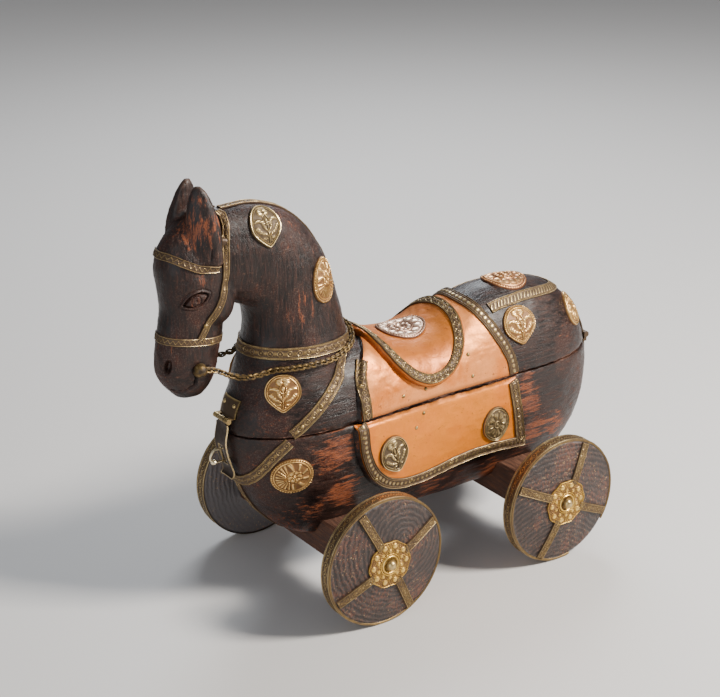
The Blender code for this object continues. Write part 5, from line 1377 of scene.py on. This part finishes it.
def edged(piece, half, low, high):
    # painted highlights along the edges, painted shade between them
    spots = coordinates(piece)
    near = np.minimum(half - np.abs(spots[:, 1]), np.minimum(high - spots[:, 2], spots[:, 2] - low))
    attribute(piece, "relief", np.clip(1.0 - near / 1.1, 0.12, 1) * 0.95)


def crossTube(x, z, y, length, radius):
    deselect()
    bpy.ops.mesh.primitive_cylinder_add(vertices=28, radius=radius * mm, depth=length * mm, rotation=(math.pi / 2, 0, 0),
                                        location=(x * mm, y * mm, z * mm))
    bpy.ops.object.transform_apply()
    made = bpy.context.object
    attribute(made, "relief", np.full(len(made.data.vertices), 0.75))
    return made


def chestX(y, z):
    return wood.cast((200, y, z), (-1, 0, 0)).x


across = np.linspace(-1, 1, 25)
rows = [[(chestX(y, z) + 0.35, y, z) for y in across * hasp["plateHalf"]]
        for z in np.linspace(hasp["hingeZ"] + 0.6, hasp["plateTop"], 22)]
plate = gridPiece("hasp plate", rollingMean(np.array(rows), 1))
thicken(plate, lambda p: (1, 0, 0), 0.7)
edged(plate, hasp["plateHalf"], hasp["hingeZ"] + 0.6, hasp["plateTop"])
pieces = [plate]
for side in (1, -1):
    pieces.append(crossTube(hasp["hingeX"], hasp["hingeZ"], side * 5.3, 3.6, hasp["knuckle"]))
    web = [[(chestX(side * y, z) + 0.3, side * y, z), (hasp["hingeX"] - 0.2, side * y, z)] for z in (114.3, 115.4, 117.0)
           for y in (3.9, 6.7)]
    spots = np.array(web)[[0, 1, 3, 2, 0]] if side > 0 else np.array(web)[[1, 0, 2, 3, 1]]
    pieces.append(joinUp(gridPiece("web", spots)))
    attribute(pieces[-1], "relief", np.full(len(pieces[-1].data.vertices), 0.4))
pieces.append(crossTube(hasp["hingeX"], hasp["hingeZ"], 0, 14.6, hasp["pin"]))
for y in (-4.6, 4.6):
    place = Vector((chestX(y, 121.3) + 1.0, y, 121.3))
    normal = wood.nearest(place)[1]
    first = normal.orthogonal().normalized()
    second = normal.cross(first)
    a = np.linspace(0, math.tau, 25)[None, :, None]
    r = np.array([0.002, 0.5, 0.9, 1.2, 1.3, 0.002])[:, None, None]
    h = np.array([0.8, 0.75, 0.55, 0.2, -0.4, -0.4])[:, None, None]
    head = joinUp(gridPiece("nail head", np.array(place) + r * np.cos(a) * np.array(first)
                            + r * np.sin(a) * np.array(second) + h * np.array(normal)))
    attribute(head, "relief", np.full(len(head.data.vertices), 0.9))
    pieces.append(head)
dress(joinPieces(pieces, "hasp_plate_worn"), "lid", "plain", "hasp_plate", slot="aged_brass")

line = []
for drop_, stand in hasp["flap"]:
    z = hasp["hingeZ"] - drop_
    base = hasp["hingeX"] + 0.3 if drop_ < 1 else chestX(0, min(z, horse["seam"])) + hasp["stand"]
    line.append((base + stand, z))
line = evenPath([(x, z, 0) for x, z in line], 0.5)
rows = []
for x, z, _ in line:
    taper = smoothstep(0.5, 3.5, np.array(hasp["hingeZ"] - z))
    half = 2.6 + (hasp["flapHalf"] - 2.6) * float(taper)
    rows.append([(x + 0.25 * (y / 6) ** 2, y, z) for y in across * half])
flap = gridPiece("flap", np.array(rows))
thicken(flap, lambda p: (1, 0, 0), hasp["thick"])
slotTop, slotEnd, slotHalf = hasp["slot"]
deselect()
bpy.ops.mesh.primitive_cube_add(size=1)
slotTool = bpy.context.object
size = np.array((30.0, slotHalf * 2, slotEnd - slotTop))
moveTo(slotTool, coordinates(slotTool) * mm * size + (125, 0, hasp["hingeZ"] - (slotTop + slotEnd) / 2))
modifier(flap, "BOOLEAN", operation="DIFFERENCE", object=slotTool, solver="MANIFOLD")
drop(slotTool)
# painted highlights along the flap's edges, bottom lip and slot, painted shade on the rest of its face
spots = coordinates(flap)
fromSlot = np.hypot(np.maximum(np.abs(spots[:, 1]) - slotHalf, 0),
                    np.maximum(np.abs(spots[:, 2] - hasp["hingeZ"] + (slotTop + slotEnd) / 2) - (slotEnd - slotTop) / 2, 0))
near = np.minimum(np.minimum(hasp["flapHalf"] - np.abs(spots[:, 1]), fromSlot), spots[:, 2] - 79)
attribute(flap, "relief", np.clip(1 - near / 0.8, 0.08, 1))
flap = joinPieces([flap, crossTube(hasp["hingeX"], hasp["hingeZ"], 0, 6.0, hasp["knuckle"])], "hasp_flap")
dress(flap, "hasp", "flap", "hasp", slot="aged_brass")

low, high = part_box("hasp_staple")
top, bottom = high[2] / mm - hasp["wire"], low[2] / mm + hasp["wire"]
inside, outer = low[0] / mm - shift.x + 0.2, high[0] / mm - shift.x - hasp["wire"]
bow = (top - bottom) / 2
a = np.linspace(math.pi / 2, -math.pi / 2, 30)
wire = np.concatenate([[(inside, 0, top)], np.c_[outer - bow + bow * np.cos(a), 0 * a + 0.3 * np.sin(3 * a), (top + bottom) / 2
                                                + bow * np.sin(a)], [(inside, 0, bottom)]])
wire = evenPath(wire, 0.6)
ahead = np.gradient(wire, axis=0)
ahead /= np.linalg.norm(ahead, axis=1, keepdims=True)
b = np.linspace(0, math.tau, 17)[None, :, None]
outwards = np.cross(ahead, (0.0, 1.0, 0.0))[:, None, :]
staple = joinUp(gridPiece("staple wire", wire[:, None, :] + hasp["wire"] * (outwards * np.cos(b) + np.array((0, 1, 0)) * np.sin(b))))
lump = ballForm((outer - bow + 1.6, 0.1, bottom + 0.5), (1.9, 1.5, 1.5))
spots = coordinates(lump)
moveTo(lump, spots + 0.35 * wander(spots, 1.6)[:, None])
attribute(lump, "relief", np.ones(len(spots)))
attribute(staple, "relief", np.full(len(staple.data.vertices), 0.9))
dress(joinPieces([staple, lump], "staple_ring"), "body", "staple", "hasp_staple", slot="aged_brass")
print("hasp")

# The wooden box itself: the form cut in two at the seam, hollowed, with notches for the beams
def blockBetween(low, high):
    deselect()
    bpy.ops.mesh.primitive_cube_add(size=1)
    made = bpy.context.object
    low, high = np.array(low, float), np.array(high, float)
    moveTo(made, (coordinates(made) * mm + 0.5) * (high - low) + low)
    return made


def cutAway(piece, tool):
    modifier(piece, "BOOLEAN", operation="DIFFERENCE", object=tool, solver="MANIFOLD")


def duplicate(piece, name):
    made = bpy.data.objects.new(name, piece.data.copy())
    bpy.context.scene.collection.objects.link(made)
    return made


wornSpots = [(70, 31, 92, 17, 0.95), (62, 28, 66, 16, 0.85), (84, 24, 62, 12, 0.7), (80, 30, 108, 8, 0.45),
             (-69, 31, 84, 10, 1.0), (-73, 30, 64, 12, 0.8), (-66, 31, 100, 9, 0.8), (-90, 26, 62, 14, 0.6),
             (122, 13, 164, 7, 0.6), (129, 13, 178, 8, 0.4), (141, 13, 202, 6, 0.6), (138, 9, 226, 13, 0.95),
             (137, 7, 240, 9, 0.85), (70, 24, 160, 12, 0.3), (76, 20, 172, 18, 0.3), (0, 10, 33, 44, 0.65),
             (-50, 15, 36, 34, 0.65), (84, 12, 42, 24, 0.75), (-100, 14, 50, 26, 0.5), (108, 16, 110, 8, 0.4)]
cavity = bodyForm("cavity", horse["wall"], horse["floor"], 20, 64)
far = 400
for name, body in (("lid", "lid"), ("base", "body")):
    block = duplicate(form, name + "_wood")
    if name == "lid":
        tools = [blockBetween((-far, -far, -far), (far, far, horse["seam"] + horse["gap"] / 2))]
    else:
        tools = [blockBetween((-far, -far, horse["seam"] - 1.1), (far, far, far))]
        for x in (wheels["axle"], -wheels["axle"]):
            tools.append(blockBetween((x - 13.8, -far, 0), (x + 13.8, far, 49.3)))
        low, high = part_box("hasp_staple")
        for z in (high[2] / mm - 0.8, low[2] / mm + 0.8):
            deselect()
            bpy.ops.mesh.primitive_cylinder_add(vertices=12, radius=1.1 * mm, depth=40 * mm, rotation=(0, math.pi / 2, 0),
                                                location=(0.1349, 0, z * mm))
            bpy.ops.object.transform_apply()
            tools.append(bpy.context.object)
    for tool in tools + [cavity]:
        cutAway(block, tool)
    drop(*tools)
    markEdges(block, 3)
    spots = coordinates(block)
    worn = np.zeros(len(spots))
    for x, y, z, reach, strength in wornSpots:
        away = np.linalg.norm((spots - (x, 0, z)) * (1, 0, 1) + np.c_[spots[:, 0] * 0, np.abs(spots[:, 1]) - y, spots[:, 0] * 0],
                              axis=1)
        near = spots[:, 1] > 0 if z > 215 else 1.0
        worn = np.maximum(worn, strength * np.clip(1.2 - away / reach, 0, 1) * near)
    attribute(block, "worn", worn)
    lip = np.clip(1 - (np.abs(spots[:, 2] - horse["seam"] + 0.3) - 0.6) / 1.6, 0, 1) * 0.6
    attribute(block, "lip", lip)
    dress(block, body, "horse", name, slot="dark_wood", angle=50)
    print(name, len(block.data.polygons))
drop(form, cavity)

# The frame's own beams and hinge stay, with worn finishes
for node in ("axle_beam_front", "axle_beam_rear"):
    for holder in frame["nodes"][node].material_slots:
        holder.material = looks["beam"]
for node in ("hinge_lid_leaf", "hinge_base_leaf"):
    for holder in frame["nodes"][node].material_slots:
        holder.material = looks["plain"]

for piece in finished:
    moveTo(piece, coordinates(piece) + np.array(shift))

# Floor
deselect()
bpy.ops.mesh.primitive_plane_add(size=8, location=(0, 0, 0))
floor = bpy.context.object
floor.name = "floor"
ground = Look("plain pale floor")
floor.data.materials.append(ground.finish(Base_Color=(0.62, 0.6, 0.585, 1), Roughness=0.6))
